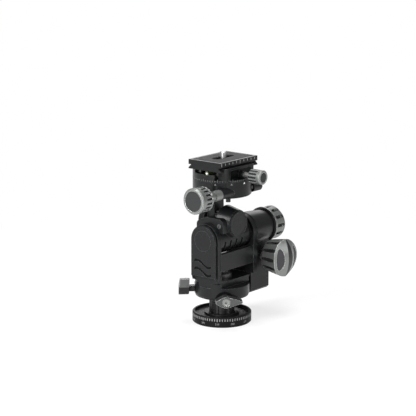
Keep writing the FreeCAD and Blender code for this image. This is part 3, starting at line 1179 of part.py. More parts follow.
def build_plate():
    """Dovetail camera plate with its pad, stops and captive camera screw."""
    body = new_body("plate_body", ("plate_shift - plate_length / 2", "0", "0"), "x")
    half, neck = "plate_half_width", "plate_half_width - plate_groove"
    under = "plate_top - plate_band"
    points = [("plate_bottom", half), ("plate_bottom + plate_foot", half),
              ("plate_bottom + plate_foot + plate_groove", neck), (under, neck), (under, half),
              ("plate_top", half)]
    mirrored = [(height, "-(%s)" % width) for height, width in reversed(points)]
    section = outline_sketch(body, "plate_section", "XY_Plane", points + mirrored)
    feature(body, "Pad", "plate_bar", section, Length="plate_length")
    slot_half = "screw_slot_length / 2"
    width = "camera_screw_radius + 0.3"
    slot = slot_tool("screw_slot", slot_half, width, "plate_bottom - 1", "plate_top + 1")
    head_half = slot_half + " - camera_screw_radius + camera_screw_head"
    head_room = slot_tool("head_slot", head_half, "camera_screw_head + 0.4", "plate_bottom - 1",
                          "plate_bottom + 2.6")
    pad_room = block("pad_room", plate_corner("-", "plate_top - pad_thickness + 0.2"),
                     plate_corner("", "plate_top + 1"))
    node(cut("plate_cut", body, slot, head_room, pad_room), "camera_plate")
    pad = block("pad_slab", plate_corner("-", "plate_top - pad_thickness + 0.2"),
                plate_corner("", "plate_top + 0.2"))
    pad_slot = slot_tool("pad_slot", slot_half, "camera_screw_radius + 1",
                         "plate_top - 3", "plate_top + 3")
    node(cut("pad_cut", pad, pad_slot), "plate_pad")
    stops = []
    for side in ("1", "-1"):
        at = ("plate_shift + %s * (plate_length / 2 - 3.4)" % side, "stop_offset")
        head = rod("stop_head_%s" % side, "stop_radius", "2.4", at + ("plate_bottom - 2.4",))
        stops.append(head)
    node(fuse("stop_pair", *stops), "plate_stops")
    thread_start = "plate_top + 0.3 - plate_bottom - 0.5"
    head = turned("camera_screw_body", [
        ("0", "0"), ("camera_screw_head", "0"), ("camera_screw_head", "1.8"),
        ("camera_screw_radius - 0.6", "1.8"), ("camera_screw_radius - 0.6", thread_start),
        ("camera_screw_radius", thread_start),
        ("camera_screw_radius", "plate_top + camera_screw_rise - plate_bottom - 1.1"),
        ("camera_screw_radius - 0.6", "plate_top + camera_screw_rise - plate_bottom - 0.5"),
        ("0", "plate_top + camera_screw_rise - plate_bottom - 0.5")],
        ("plate_shift", "0", "plate_bottom + 0.5"))
    coin = block("coin_slot", ("plate_shift - 6", "-0.8", "plate_bottom + 0.4"),
                 ("plate_shift + 6", "0.8", "plate_bottom + 1.5"))
    node(cut("camera_screw_cut", head, coin), "camera_screw")


def plate_corner(sign, height):
    """Corner of the rubber pad's field on the plate."""
    reach = "(plate_length / 2 - pad_margin)" if sign == "" else "(-plate_length / 2 + pad_margin)"
    across = "plate_half_width - pad_margin" if sign == "" else "-plate_half_width + pad_margin"
    return ("plate_shift + " + reach, across, height)


def slot_tool(name, half_length, radius, bottom, top):
    """Round-ended slot along X, as a tool that cuts between two heights."""
    body = new_body(name, ("plate_shift", "0", bottom))
    end = "((%s) - (%s))" % (half_length, radius)
    depth = "(%s) - (%s)" % (top, bottom)
    middle = outline_sketch(body, name + "_middle", "XY_Plane", [
        ("-" + end, "-(%s)" % radius), (end, "-(%s)" % radius), (end, radius),
        ("-" + end, radius)])
    feature(body, "Pad", name + "_way", middle, Length=depth)
    ends = circle_sketch(body, name + "_round", "XY_Plane", [("-" + end, "0"), (end, "0")], radius)
    feature(body, "Pad", name + "_ends", ends, Length=depth)
    return body


# ---------------------------------------------------------------- locking levers

def build_lever(label, side):
    """Leaf-shaped locking lever, its screw and the brass shoe that the screw presses."""
    angle, height, turn = side + "_lever_angle", side + "_lever_height", side + "_lever_turn"
    neck_length = side + "_lever_neck"
    rotation = radial_rotation(angle).multiply(FreeCAD.Rotation(V(0, 0, 1), size(turn)))
    at = ("lever_neck_start * cos(%s)" % angle, "lever_neck_start * sin(%s)" % angle, height)
    body = new_body(label + "_body", at, rotation=rotation)
    wing = outline_sketch(body, label + "_wing", "XY_Plane", [
        ("-lever_tip_short", "-lever_tip_half"), ("-lever_half_waist", "-lever_half_waist"),
        ("lever_half_waist", "-lever_half_waist"), ("lever_tip_long", "-lever_tip_half"),
        ("lever_tip_long", "lever_tip_half"), ("lever_half_waist", "lever_half_waist"),
        ("-lever_half_waist", "lever_half_waist"), ("-lever_tip_short", "lever_tip_half")])
    bind(wing, **{".AttachmentOffset.Base.z": neck_length})
    feature(body, "Pad", label + "_blade", wing, Length="lever_thickness")
    hub = circle_sketch(body, label + "_hub", "XY_Plane", [("0", "0")], "lever_hub_radius")
    bind(hub, **{".AttachmentOffset.Base.z": neck_length})
    feature(body, "Pad", label + "_boss", hub, Length="lever_thickness")
    neck = circle_sketch(body, label + "_neck", "XY_Plane", [("0", "0")], "lever_neck_radius")
    feature(body, "Pad", label + "_stem", neck, Length=neck_length + " + 1")
    bore = circle_sketch(body, label + "_bore", "XY_Plane", [("0", "0")],
                         "lever_screw_radius + push_gap")
    pocket_up(body, label + "_bore_cut", bore, neck_length + " + lever_thickness + 1")
    mouth = circle_sketch(body, label + "_mouth", "XY_Plane", [("0", "0")],
                          "lever_screw_radius + 1.1")
    bind(mouth, **{".AttachmentOffset.Base.z": neck_length + " + lever_thickness - 1.2"})
    pocket_up(body, label + "_mouth_cut", mouth, "2")
    node(body, label)
    tip = "lever_neck_start + %s + lever_thickness - 1.2" % neck_length
    start = "spindle_radius - lock_groove_depth + running * 4 + shoe_length"
    shank = radial_rod(label + "_shank", "lever_screw_radius", start,
                       "(%s) - (%s)" % (tip, start), angle, height)
    head = radial_rod(label + "_head", "lever_screw_radius + 0.9", tip, "0.9", angle, height)
    socket = radial_rod(label + "_socket", "lever_screw_radius * 0.5", tip + " - 1", "3", angle,
                        height)
    node(cut(label + "_screw_cut", fuse(label + "_screw_whole", shank, head), socket),
         label + "_screw")


def build_shoes():
    """Brass shoes that press on the spindle's lock groove."""
    shoes = [radial_rod("shoe_" + side, "lever_screw_radius",
                        "spindle_radius - lock_groove_depth + running * 4",
                        "shoe_length - 0.1", side + "_lever_angle", side + "_lever_height")
             for side in ("front", "side")]
    node(fuse("shoe_pair", *shoes), "lock_shoes")


# ---------------------------------------------------------------- checks and export

def check_document():
    """Stop if any object of the document failed or any sub-part is not a valid solid."""
    DOC.recompute()
    failed = [item.Name for item in DOC.Objects if {"Invalid", "Error"} & set(item.State)]
    if failed:
        raise RuntimeError("failed objects: " + ", ".join(failed))
    for thing in NODES:
        if thing.Shape.isNull() or not thing.Shape.isValid() or not thing.Shape.Solids:
            raise RuntimeError("bad shape: " + thing.Label)


def export_parts():
    """Write one STEP file for each sub-part."""
    os.makedirs("parts", exist_ok=True)
    for thing in NODES:
        thing.Shape.exportStep("parts/%s.step" % thing.Label)


def build_head():
    """Build every sub-assembly, from the tripod thread up to the camera screw."""
    fill_sheet()
    build_base()
    build_spindle()
    build_yoke()
    build_left_cover()
    build_gear_case()
    build_tilt_train()
    build_tilt_knob()
    build_roll_knob()
    build_cradle()
    build_saddle()
    build_pan_stator()
    build_pan_knob()
    build_pan_rotor()
    build_clamp_jaw()
    build_clamp_knob()
    build_plate()
    build_lever("pan_lock_lever", "front")
    build_lever("drag_lever", "side")
    build_shoes()


build_head()
check_document()
export_parts()
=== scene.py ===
"""Geared tripod head on a pale studio floor: finishes, scales, figures and small trim."""
from __future__ import annotations

import logging
import math
from dataclasses import dataclass
from enum import Enum
from typing import ClassVar, Mapping, Sequence

import bmesh
import bpy
from mathutils import Matrix, Vector

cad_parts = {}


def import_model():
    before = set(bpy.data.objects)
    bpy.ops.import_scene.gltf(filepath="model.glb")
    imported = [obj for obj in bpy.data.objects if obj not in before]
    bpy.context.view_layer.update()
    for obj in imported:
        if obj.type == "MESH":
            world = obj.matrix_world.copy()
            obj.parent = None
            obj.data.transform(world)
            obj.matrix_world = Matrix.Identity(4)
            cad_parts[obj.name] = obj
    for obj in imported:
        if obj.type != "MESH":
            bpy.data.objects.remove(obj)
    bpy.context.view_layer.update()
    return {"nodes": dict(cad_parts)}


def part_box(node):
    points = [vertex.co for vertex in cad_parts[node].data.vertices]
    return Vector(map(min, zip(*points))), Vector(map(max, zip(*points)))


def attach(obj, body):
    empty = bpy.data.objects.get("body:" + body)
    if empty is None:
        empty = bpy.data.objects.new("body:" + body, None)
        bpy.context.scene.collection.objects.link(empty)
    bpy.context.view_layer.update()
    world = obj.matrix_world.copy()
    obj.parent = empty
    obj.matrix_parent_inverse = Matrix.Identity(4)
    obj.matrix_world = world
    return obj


LOG = logging.getLogger("geared_head")
MM = 0.001
Colour = tuple[float, float, float]
Point = tuple[float, float, float]
Pair = tuple[float, float]
LandPoint = Pair  # place along an axis, and radius there
Texture = Pair  # features per metre, and octaves
Relief = Pair  # strength, and depth in metres
Inputs = dict[str, object]
BMesh = bmesh.types.BMesh
BEVEL_SAMPLES = 4
SMALL_EDGE = 0.2 * MM


class Axis(Enum):
    """Direction that a turned piece is turned about."""

    X = "X"
    Y = "Y"
    Z = "Z"

    @property
    def unit(self) -> Point:
        """Vector of length 1 along the axis."""
        return tuple(1.0 if axis is self else 0.0 for axis in Axis)


class Slot(Enum):
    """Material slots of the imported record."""

    BLACK = "black"
    TITANIUM = "titanium"
    VIAL = "vial"


# --- shader graphs


@dataclass(frozen=True)
class Wire:
    """Output socket of a shader graph that takes part in Python arithmetic."""

    graph: Graph
    socket: bpy.types.NodeSocket

    def math(self, operation: str, *values: Value) -> Wire:
        """Run a Math node on this socket.

        Args:
            operation: The Math node's operation.
            values: The second and third inputs.

        Returns:
            The node's result.
        """
        return self.graph.math(operation, self, *values)

    def __add__(self, other: Value) -> Wire:
        """Add a number or socket."""
        return self.math("ADD", other)

    def __radd__(self, other: Value) -> Wire:
        """Add this socket to a number."""
        return self.graph.math("ADD", other, self)

    def __sub__(self, other: Value) -> Wire:
        """Subtract a number or socket."""
        return self.math("SUBTRACT", other)

    def __rsub__(self, other: Value) -> Wire:
        """Subtract this socket from a number."""
        return self.graph.math("SUBTRACT", other, self)

    def __mul__(self, other: Value) -> Wire:
        """Multiply by a number or socket."""
        return self.math("MULTIPLY", other)

    def __truediv__(self, other: Value) -> Wire:
        """Divide by a number or socket."""
        return self.math("DIVIDE", other)

    def size(self) -> Wire:
        """Value without its sign."""
        return self.math("ABSOLUTE")

    def clamp(self) -> Wire:
        """Limit the value to the range from 0 to 1."""
        return self.graph.node("ShaderNodeClamp", {}, {"Value": self})

    def above(self, limit: Value, width: float) -> Wire:
        """Mask that rises from 0 at a limit to 1 a little above it.

        Args:
            limit: Value where the mask starts.
            width: Distance over which it rises.

        Returns:
            The mask.
        """
        return ((self - limit) / width).clamp()

    def below(self, limit: Value, width: float) -> Wire:
        """Mask that is 0 at a limit and rises to 1 a little below it.

        Args:
            limit: Value where the mask ends.
            width: Distance over which it rises.

        Returns:
            The mask.
        """
        return ((limit - self) / width).clamp()


Value = Wire | float


@dataclass(frozen=True)
class Graph:
    """Node tree of a material or world."""

    tree: bpy.types.NodeTree

    def node(self, kind: str, settings: Mapping[str, object],
             inputs: Mapping[str | int, object], output: str | int = 0) -> Wire:
        """Add a node.

        Args:
            kind: The node's type.
            settings: Properties that are set first.
            inputs: Values or wires by the name or number of the input.
            output: Name or number of the output wanted.

        Returns:
            The wanted output of the new node.
        """
        made = self.tree.nodes.new(kind)
        for name, setting in settings.items():
            setattr(made, name, setting)
        for name, value in inputs.items():
            socket = made.inputs[name]
            if isinstance(value, Wire):
                self.tree.links.new(value.socket, socket)
            elif isinstance(value, tuple) and socket.type == "RGBA":
                socket.default_value = (*value, 1.0)
            else:
                socket.default_value = value
        return Wire(self, made.outputs[output])

    def output(self, kind: str, shader: Wire) -> None:
        """Add the output node.

        Args:
            kind: The node's type.
            shader: Shader that it puts out.
        """
        made = self.tree.nodes.new(kind)
        self.tree.links.new(shader.socket, made.inputs["Surface"])

    def math(self, operation: str, *values: Value) -> Wire:
        """Add a Math node.

        Args:
            operation: The node's operation.
            values: Its inputs in order.

        Returns:
            The result.
        """
        return self.node("ShaderNodeMath", {"operation": operation}, dict(enumerate(values)))

    def vector(self, operation: str, first: object, second: object,
               output: str | int = 0) -> Wire:
        """Add a Vector Math node.

        Args:
            operation: The node's operation.
            first: First vector.
            second: Second vector.
            output: Output wanted.

        Returns:
            The result.
        """
        return self.node("ShaderNodeVectorMath", {"operation": operation},
                         {0: first, 1: second}, output)

    def blend(self, factor: Value, first: object, second: object) -> Wire:
        """Mix two colours.

        Args:
            factor: Share of the second colour.
            first: First colour.
            second: Second colour.

        Returns:
            The mixed colour.
        """
        # Inputs 6 and 7 and output 2 are the node's colours.
        return self.node("ShaderNodeMix", {"data_type": "RGBA"},
                         {0: factor, 6: first, 7: second}, 2)

    def place(self) -> Wire:
        """Position on the piece at rest, in metres."""
        return self.node("ShaderNodeTexCoord", {}, {}, "Object")

    def along(self, vector: Wire, axis: Axis) -> Wire:
        """Part of a vector along an axis.

        Args:
            vector: The vector.
            axis: The axis.

        Returns:
            The part, with its sign.
        """
        return self.vector("DOT_PRODUCT", vector, axis.unit, "Value")

    def facing(self, axis: Axis) -> Wire:
        """How squarely the surface faces either way along an axis, from 0 to 1."""
        normal = self.node("ShaderNodeTexCoord", {}, {}, "Normal")
        return self.along(normal, axis).size()

    def noise(self, texture: Texture) -> Wire:
        """Noise between 0 and 1."""
        scale, detail = texture
        return self.node("ShaderNodeTexNoise", {},
                         {"Vector": self.place(), "Scale": scale, "Detail": detail})

    def soft_edge(self, radius: float = SMALL_EDGE) -> Wire:
        """Normal that is rounded over a radius at the edges."""
        return self.node("ShaderNodeBevel", {"samples": BEVEL_SAMPLES}, {"Radius": radius})

    def edge_mask(self, radius: float, gain: float) -> Wire:
        """Mask that rises towards 1 at sharp edges.

        Args:
            radius: Width of the zone along the edges in metres.
            gain: Strength of the mask.

        Returns:
            The mask.
        """
        flat = self.node("ShaderNodeNewGeometry", {}, {}, "Normal")
        likeness = self.vector("DOT_PRODUCT", self.soft_edge(radius), flat, "Value")
        return ((1.0 - likeness) * gain).clamp()

    def bump(self, height: Wire, relief: Relief, normal: Wire) -> Wire:
        """Bump on top of another normal.

        Args:
            height: Height between 0 and 1.
            relief: Strength and depth of the bump.
            normal: Normal that is bumped.

        Returns:
            The bumped normal.
        """
        strength, depth = relief
        return self.node("ShaderNodeBump", {},
                         {"Strength": strength, "Distance": depth, "Height": height,
                          "Normal": normal})


def empty_graph(owner: bpy.types.Material | bpy.types.World) -> Graph:
    """Node tree of a material or world, with nothing in it.

    Args:
        owner: The material or world.

    Returns:
        Its graph.
    """
    owner.use_nodes = True
    owner.node_tree.nodes.clear()
    return Graph(owner.node_tree)


# --- finishes


@dataclass(frozen=True)
class Finish:
    """Common part of the finishes: a named material with one principled shader."""

    name: str
    colour: Colour
    shade: ClassVar[float]

    def flecked(self, graph: Graph, factor: Wire) -> Wire:
        """The colour, blended with a darker or lighter shade of it."""
        shaded = tuple(min(1.0, self.shade * part) for part in self.colour)
        return graph.blend(factor, self.colour, shaded)

    def surface(self, graph: Graph) -> Inputs:
        """Inputs of the principled shader."""
        raise NotImplementedError

    def material(self) -> bpy.types.Material:
        """Build the material, or return it when it exists already."""
        known = bpy.data.materials.get(self.name)
        if known is not None:
            return known
        made = bpy.data.materials.new(self.name)
        graph = empty_graph(made)
        shader = graph.node("ShaderNodeBsdfPrincipled", {}, self.surface(graph))
        graph.output("ShaderNodeOutputMaterial", shader)
        return made


@dataclass(frozen=True)
class BlackAnodised(Finish):
    """Bead-blasted aluminium, black anodised, with lighter edges: partly worn, partly painted
    highlight.
    """

    roughness: float = 0.29
    specular: float = 0.2
    edge_radius: float = 0.45 * MM
    edge_colour: Colour = (0.13, 0.135, 0.14)
    wear: float = 2.4
    least_wear: float = 0.35
    shade: ClassVar[float] = 0.72
    grain: Texture = (5200.0, 3.0)
    cloud: Texture = (85.0, 4.0)
    scuff: Texture = (620.0, 5.0)
    relief: Relief = (0.35, 0.04 * MM)

    def surface(self, graph: Graph) -> Inputs:
        """Inputs of the principled shader."""
        grain, cloud, scuff = map(graph.noise, (self.grain, self.cloud, self.scuff))
        # Lighter edges: partly worn anodising, partly painted highlight.
        edge = (graph.edge_mask(self.edge_radius, self.wear) * (self.least_wear + scuff)).clamp()
        body = self.flecked(graph, (grain * 0.6 + cloud * 0.4).clamp())
        return {
            "Base Color": graph.blend(edge, body, self.edge_colour),
            "Specular IOR Level": self.specular,
            "Roughness": (self.roughness - 0.08 + cloud * 0.12 + grain * 0.06).clamp(),
            "Normal": graph.bump(grain, self.relief, graph.soft_edge(self.edge_radius)),
        }


@dataclass(frozen=True)
class WavedBlack(BlackAnodised):
    """Black anodised cover with painted shade in its pressed waves, which are dull and near black
    inside.

    The waves lie within half_width of the cover's middle line and half_height of their own
    middle height, and anything deeper than the lip behind the face there is inside a wave.
    """

    face: float = 0.0
    lip: float = 0.1 * MM
    lip_fade: float = 0.125 * MM
    half_width: float = 14.0 * MM
    middle_height: float = 59.0 * MM
    half_height: float = 12.0 * MM
    border_fade: float = 0.5 * MM
    floor_colour: Colour = (0.0005, 0.0005, 0.0005)
    floor_dullness: float = 0.6

    def surface(self, graph: Graph) -> Inputs:
        """Inputs of the principled shader."""
        inputs = super().surface(graph)
        depth, across, height = (graph.along(graph.place(), axis) for axis in Axis)
        inside = across.size().below(self.half_width, self.border_fade)
        level = (height - self.middle_height).size().below(self.half_height, self.border_fade)
        # Painted shade: floors and walls of the waves are painted near black, as shade would fall
        # there.
        mask = depth.above(self.face + self.lip, self.lip_fade) * inside * level
        inputs["Base Color"] = graph.blend(mask, inputs["Base Color"], self.floor_colour)
        inputs["Roughness"] = (inputs["Roughness"] + mask * self.floor_dullness).clamp()
        return inputs


@dataclass(frozen=True)
class TurnedMetal(Finish):
    """Anodised metal with fine lathe lines round one axis; edges worn bright, partly painted
    highlight.
    """

    roughness: float = 0.3
    axis: Axis = Axis.Z
    centre: Point = (0.0, 0.0, 0.0)
    edge_radius: float = 0.5 * MM
    edge_colour: Colour = (0.82, 0.84, 0.83)
    wear: float = 5.0
    metallic: float = 0.9
    shade: ClassVar[float] = 0.8
    lines: float = 2600.0
    line_wobble: float = 0.6
    line_detail: Pair = (2.0, 1.5)
    grain: Texture = (3600.0, 2.0)
    cloud: Texture = (120.0, 3.0)
    relief: Relief = (0.25, 0.03 * MM)

    def surface(self, graph: Graph) -> Inputs:
        """Inputs of the principled shader."""
        place = graph.vector("SUBTRACT", graph.place(), self.centre)
        lines = graph.node("ShaderNodeTexWave",
                           {"wave_type": "RINGS", "rings_direction": self.axis.value},
                           {"Vector": place, "Scale": self.lines,
                            "Distortion": self.line_wobble, "Detail": self.line_detail[0],
                            "Detail Scale": self.line_detail[1]}, "Fac")
        grain, cloud = graph.noise(self.grain), graph.noise(self.cloud)
        # Bright edges: partly worn bevels, partly painted highlight.
        edge = graph.edge_mask(self.edge_radius, self.wear)
        body = self.flecked(graph, (cloud * 0.7 + lines * 0.3).clamp())
        return {
            "Base Color": graph.blend(edge, body, self.edge_colour),
            "Metallic": self.metallic,
            "Roughness": (self.roughness + cloud * 0.1 + lines * 0.05 - edge * 0.1).clamp(),
            "Normal": graph.bump(lines * 0.5 + grain * 0.5, self.relief,
                                 graph.soft_edge(self.edge_radius)),
        }


@dataclass(frozen=True)
class TwoToneMetal(TurnedMetal):
    """Turned metal with painted shade below a height: dull black there, where its lower part is in
    shade.
    """

    split: float = 0.0
    split_fade: float = 0.25 * MM
    low_colour: Colour = (0.004, 0.004, 0.0042)
    low_dullness: float = 0.35

    def surface(self, graph: Graph) -> Inputs:
        """Inputs of the principled shader."""
        inputs = super().surface(graph)
        height = graph.along(graph.place(), Axis.Z)
        # Painted shade: below the split height the piece is painted dull black, as shade would
        # fall there.
        low = height.below(self.split + self.split_fade / 2, self.split_fade)
        inputs["Base Color"] = graph.blend(low, inputs["Base Color"], self.low_colour)
        inputs["Metallic"] = self.metallic - low * self.metallic
        inputs["Roughness"] = (inputs["Roughness"] + low * self.low_dullness).clamp()
        return inputs


@dataclass(frozen=True)
class GroovedMetal(TurnedMetal):
    """Turned metal with painted shade in its grooves below a straight or tapered land."""

    roughness: float = 0.34
    metallic: float = 0.85
    dark_metallic: float = 0.15
    land_start: LandPoint = (0.0, 10.0 * MM)
    land_end: LandPoint = (10.0 * MM, 10.0 * MM)
    groove_depth: float = 0.18 * MM
    groove_fade: float = 0.2 * MM
    groove_colour: Colour = (0.006, 0.006, 0.0065)
    end_fade: float = 1.0 / 3000.0
    band_lean: float = 0.6
    lean_fade: float = 0.125
    leaves: int = 0
    leaf_width: float = 0.12
    leaf_taper: float = 0.5
    leaf_fade: float = 1.0 / 6.0
    leaf_end_fade: float = 0.05
    rib_across: Axis | None = None
    rib_facing: float = 0.7
    rib_facing_fade: float = 0.1
    rib_lean: float = 0.2
    rib_lean_fade: float = 1.0 / 12.0
    rib_colour: Colour = (0.009, 0.009, 0.0095)

    def band_side(self, graph: Graph) -> Wire:
        """Mask of the surfaces that look outwards from the axis, not along it."""
        return graph.facing(self.axis).below(self.band_lean, self.lean_fade)

    def groove_mask(self, graph: Graph) -> Wire:
        """Mask of painted shade on the surfaces that lie below the land, apart from the knob's
        ends.

        Args:
            graph: Shader graph of the material.

        Returns:
            The mask.
        """
        offset = graph.vector("SUBTRACT", graph.place(), self.centre)
        flat = graph.vector("MULTIPLY", offset, tuple(1.0 - part for part in self.axis.unit))
        radius = graph.vector("LENGTH", flat, (0.0, 0.0, 0.0), "Value")
        height = graph.along(graph.place(), self.axis)
        (start, low), (end, high) = self.land_start, self.land_end
        slope = (high - low) / (end - start)
        land = height * slope + (low - slope * start)
        first, last = sorted((start, end))
        inside = height.above(first, self.end_fade) * height.below(last, self.end_fade)
        sunk = (land - radius).above(self.groove_depth, self.groove_fade)
        return sunk * self.band_side(graph) * inside

    def leaf_mask(self, graph: Graph) -> Wire:
        """Mask of long leaves of painted shade round the band, which taper at both of its ends.

        Args:
            graph: Shader graph of the material.

        Returns:
            The mask.
        """
        offset = graph.vector("SUBTRACT", graph.place(), self.centre)
        one, two = (graph.along(offset, axis) for axis in Axis if axis is not self.axis)
        height = graph.along(graph.place(), self.axis)
        first, last = sorted((self.land_start[0], self.land_end[0]))
        middle, half = (first + last) / 2, (last - first) / 2
        share = ((height - middle) / half).size()
        wave = (two.math("ARCTAN2", one) * float(self.leaves)).math("COSINE")
        leaf = (wave - share * share * self.leaf_taper).above(self.leaf_width, self.leaf_fade)
        return leaf * self.band_side(graph) * share.below(1.0, self.leaf_end_fade)

    def rib_mask(self, graph: Graph) -> Wire:
        """Mask of painted shade on the rib between the two slopes of the knob's front.

        Args:
            graph: Shader graph of the material.

        Returns:
            The mask.
        """
        front = graph.facing(self.axis).above(self.rib_facing, self.rib_facing_fade)
        return front * graph.facing(self.rib_across).below(self.rib_lean, self.rib_lean_fade)

    def surface(self, graph: Graph) -> Inputs:
        """Inputs of the principled shader."""
        inputs = super().surface(graph)
        mask = self.groove_mask(graph)
        if self.leaves:
            mask = (mask + self.leaf_mask(graph)).clamp()
        # Painted shade: grooves and leaves are painted near black and less metallic.
        colour = graph.blend(mask, inputs["Base Color"], self.groove_colour)
        if self.rib_across is not None:
            # Painted shade: the rib, which faces along the axis, is painted darker than the slopes
            # beside it.
            rib = self.rib_mask(graph)
            colour = graph.blend(rib, colour, self.rib_colour)
            mask = (mask + rib).clamp()
        inputs["Base Color"] = colour
        inputs["Metallic"] = self.metallic - mask * (self.metallic - self.dark_metallic)
        return inputs


@dataclass(frozen=True)
class PlainMetal(Finish):
    """Machined steel or bronze with faint streaks."""

    roughness: float = 0.32
    shade: ClassVar[float] = 0.7
    streak: Texture = (900.0, 4.0)
    cloud: Texture = (140.0, 3.0)
    relief: Relief = (0.3, 0.03 * MM)

    def surface(self, graph: Graph) -> Inputs:
        """Inputs of the principled shader."""
        streak, cloud = graph.noise(self.streak), graph.noise(self.cloud)
        return {
            "Base Color": self.flecked(graph, cloud),
            "Metallic": 1.0,
            "Roughness": (self.roughness + streak * 0.15).clamp(),
            "Normal": graph.bump(streak, self.relief, graph.soft_edge()),
        }


@dataclass(frozen=True)
class MattPlastic(Finish):
    """Matt moulded surface with a fine sparkle in its grain."""

    roughness: float = 0.55
    specular: float = 0.2
    shade: ClassVar[float] = 1.35
    grain: Texture = (3000.0, 3.0)
    cloud: Texture = (200.0, 3.0)
    relief: Relief = (0.5, 0.05 * MM)

    def surface(self, graph: Graph) -> Inputs:
        """Inputs of the principled shader."""
        grain, cloud = graph.noise(self.grain), graph.noise(self.cloud)
        fleck = (grain * 0.5 + cloud * 0.5).clamp()
        return {
            "Base Color": self.flecked(graph, fleck),
            "Specular IOR Level": self.specular,
            "Roughness": (self.roughness + grain * 0.12).clamp(),
            "Normal": graph.bump(grain, self.relief, graph.soft_edge()),
        }


@dataclass(frozen=True)
class RibbedRubber(Finish):
    """Rubber pad with fine ribs across it."""

    roughness: float = 0.7
    shade: ClassVar[float] = 1.8
    rib_scale: float = 160.0
    grain: Texture = (2500.0, 3.0)
    relief: Relief = (0.8, 0.3 * MM)

    def surface(self, graph: Graph) -> Inputs:
        """Inputs of the principled shader."""
        ribs = graph.node("ShaderNodeTexWave", {"bands_direction": "X"},
                          {"Vector": graph.place(), "Scale": self.rib_scale}, "Fac")
        grain = graph.noise(self.grain)
        fleck = (ribs * 0.6 + grain * 0.4).clamp()
        return {
            "Base Color": self.flecked(graph, fleck),
            "Roughness": (self.roughness + grain * 0.15).clamp(),
            "Normal": graph.bump(ribs * 0.8 + grain * 0.2, self.relief, graph.soft_edge()),
        }


@dataclass(frozen=True)
class PaintFill(Finish):
    """Paint laid in engraved marks, slightly worn."""

    roughness: float = 0.45
    shade: ClassVar[float] = 0.75
    grain: Texture = (1800.0, 4.0)
    relief: Relief = (0.2, 0.02 * MM)

    def surface(self, graph: Graph) -> Inputs:
        """Inputs of the principled shader."""
        worn = graph.noise(self.grain)
        normal = graph.node("ShaderNodeNewGeometry", {}, {}, "Normal")
        return {
            "Base Color": self.flecked(graph, worn),
            "Roughness": (self.roughness + worn * 0.2).clamp(),
            "Normal": graph.bump(worn, self.relief, normal),
        }


@dataclass(frozen=True)
class TintedVial(Finish):
    """Clear tinted plastic of a level."""

    roughness: float = 0.06
    coat: float = 0.6
    shade: ClassVar[float] = 1.2
    cloud: Texture = (300.0, 2.0)
    relief: Relief = (0.1, 0.02 * MM)

    def surface(self, graph: Graph) -> Inputs:
        """Inputs of the principled shader."""
        cloud = graph.noise(self.cloud)
        return {
            "Base Color": self.flecked(graph, cloud),
            "Roughness": (self.roughness + cloud * 0.05).clamp(),
            "Coat Weight": self.coat,
            "Normal": graph.bump(cloud, self.relief, graph.soft_edge()),
        }


BLACK = BlackAnodised("black_anodised", (0.008, 0.0084, 0.009))
SATIN_BLACK = BlackAnodised("satin_black", (0.0075, 0.0079, 0.0086), roughness=0.27,
                            specular=0.22)
DULL_BLACK = BlackAnodised("dull_black", (0.005, 0.0052, 0.0056), roughness=0.36, specular=0.1)
INLAY = MattPlastic("knob_inlay", (0.035, 0.035, 0.037))
DARK_DISC = MattPlastic("knob_disc", (0.02, 0.0205, 0.021), roughness=0.45)
HOLE_SHADE = MattPlastic("hole_shade", (0.003, 0.003, 0.003), roughness=0.8)
STEEL = PlainMetal("machined_steel", (0.55, 0.55, 0.56))
BLACK_OXIDE = PlainMetal("black_oxide", (0.05, 0.05, 0.052), roughness=0.38)
DARK_STEEL = PlainMetal("dark_steel", (0.04, 0.04, 0.042), roughness=0.34)
GREY_STEEL = PlainMetal("grey_steel", (0.2, 0.2, 0.205), roughness=0.36)
SLEEVE_METAL = PlainMetal("sleeve_metal", (0.3, 0.31, 0.3), roughness=0.4)
BRONZE = PlainMetal("bearing_bronze", (0.62, 0.42, 0.2), roughness=0.35)
RUBBER = RibbedRubber("ribbed_rubber", (0.018, 0.018, 0.018))
VIAL = TintedVial("level_vial", (0.035, 0.045, 0.015))
PAINT = PaintFill("white_paint", (0.82, 0.82, 0.8))
WORN_PAINT = PaintFill("worn_paint", (0.45, 0.45, 0.44))
BAND_PAINT = PaintFill("band_paint", (0.22, 0.22, 0.215))
FAINT_PAINT = PaintFill("grey_paint", (0.14, 0.14, 0.14))
KNOB_COLOUR: Colour = (0.23, 0.239, 0.231)


# --- mesh tools


MARK_PROUD = 0.04 * MM
MARK_DEPTH = 0.1 * MM
FIGURE_PROUD = 0.05 * MM
FONT_SIZE = 1.4  # size of the font for figures of height 1
LEFTWARD = Vector((-1.0, 0.0, 0.0))
FORWARD = Vector((0.0, -1.0, 0.0))


def add_object(name: str, data: bpy.types.ID) -> bpy.types.Object:
    """Put a new object in the scene.

    Args:
        name: Its name.
        data: Its mesh, curve, light or camera.

    Returns:
        The object.
    """
    made = bpy.data.objects.new(name, data)
    bpy.context.scene.collection.objects.link(made)
    return made


def new_piece(name: str, mesh: BMesh, body: str, finish: Finish) -> None:
    """Turn a mesh into a piece that rides on a body.

    Args:
        name: Name of the piece.
        mesh: Its geometry in metres, freed afterwards.
        body: Body that carries it.
        finish: Its finish.
    """
    data = bpy.data.meshes.new(name)
    bmesh.ops.recalc_face_normals(mesh, faces=mesh.faces)
    mesh.to_mesh(data)
    mesh.free()
    data.materials.append(finish.material())
    made = add_object(name, data)
    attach(made, body)
    LOG.info("piece %s rides on %s", name, body)


@dataclass(frozen=True)
class Drum:
    """Cylinder round the head's upright axis that marks are laid on."""

    radius: float

    def at(self, angle: float, height: float, proud: float = 0.0) -> Vector:
        """Point on the drum.

        Args:
            angle: Angle in degrees, anticlockwise from above.
            height: Height in metres.
            proud: Distance above the surface in metres.

        Returns:
            The point in the row's frame.
        """
        turn = math.radians(angle)
        reach = self.radius + proud
        return Vector((reach * math.cos(turn), reach * math.sin(turn), height))


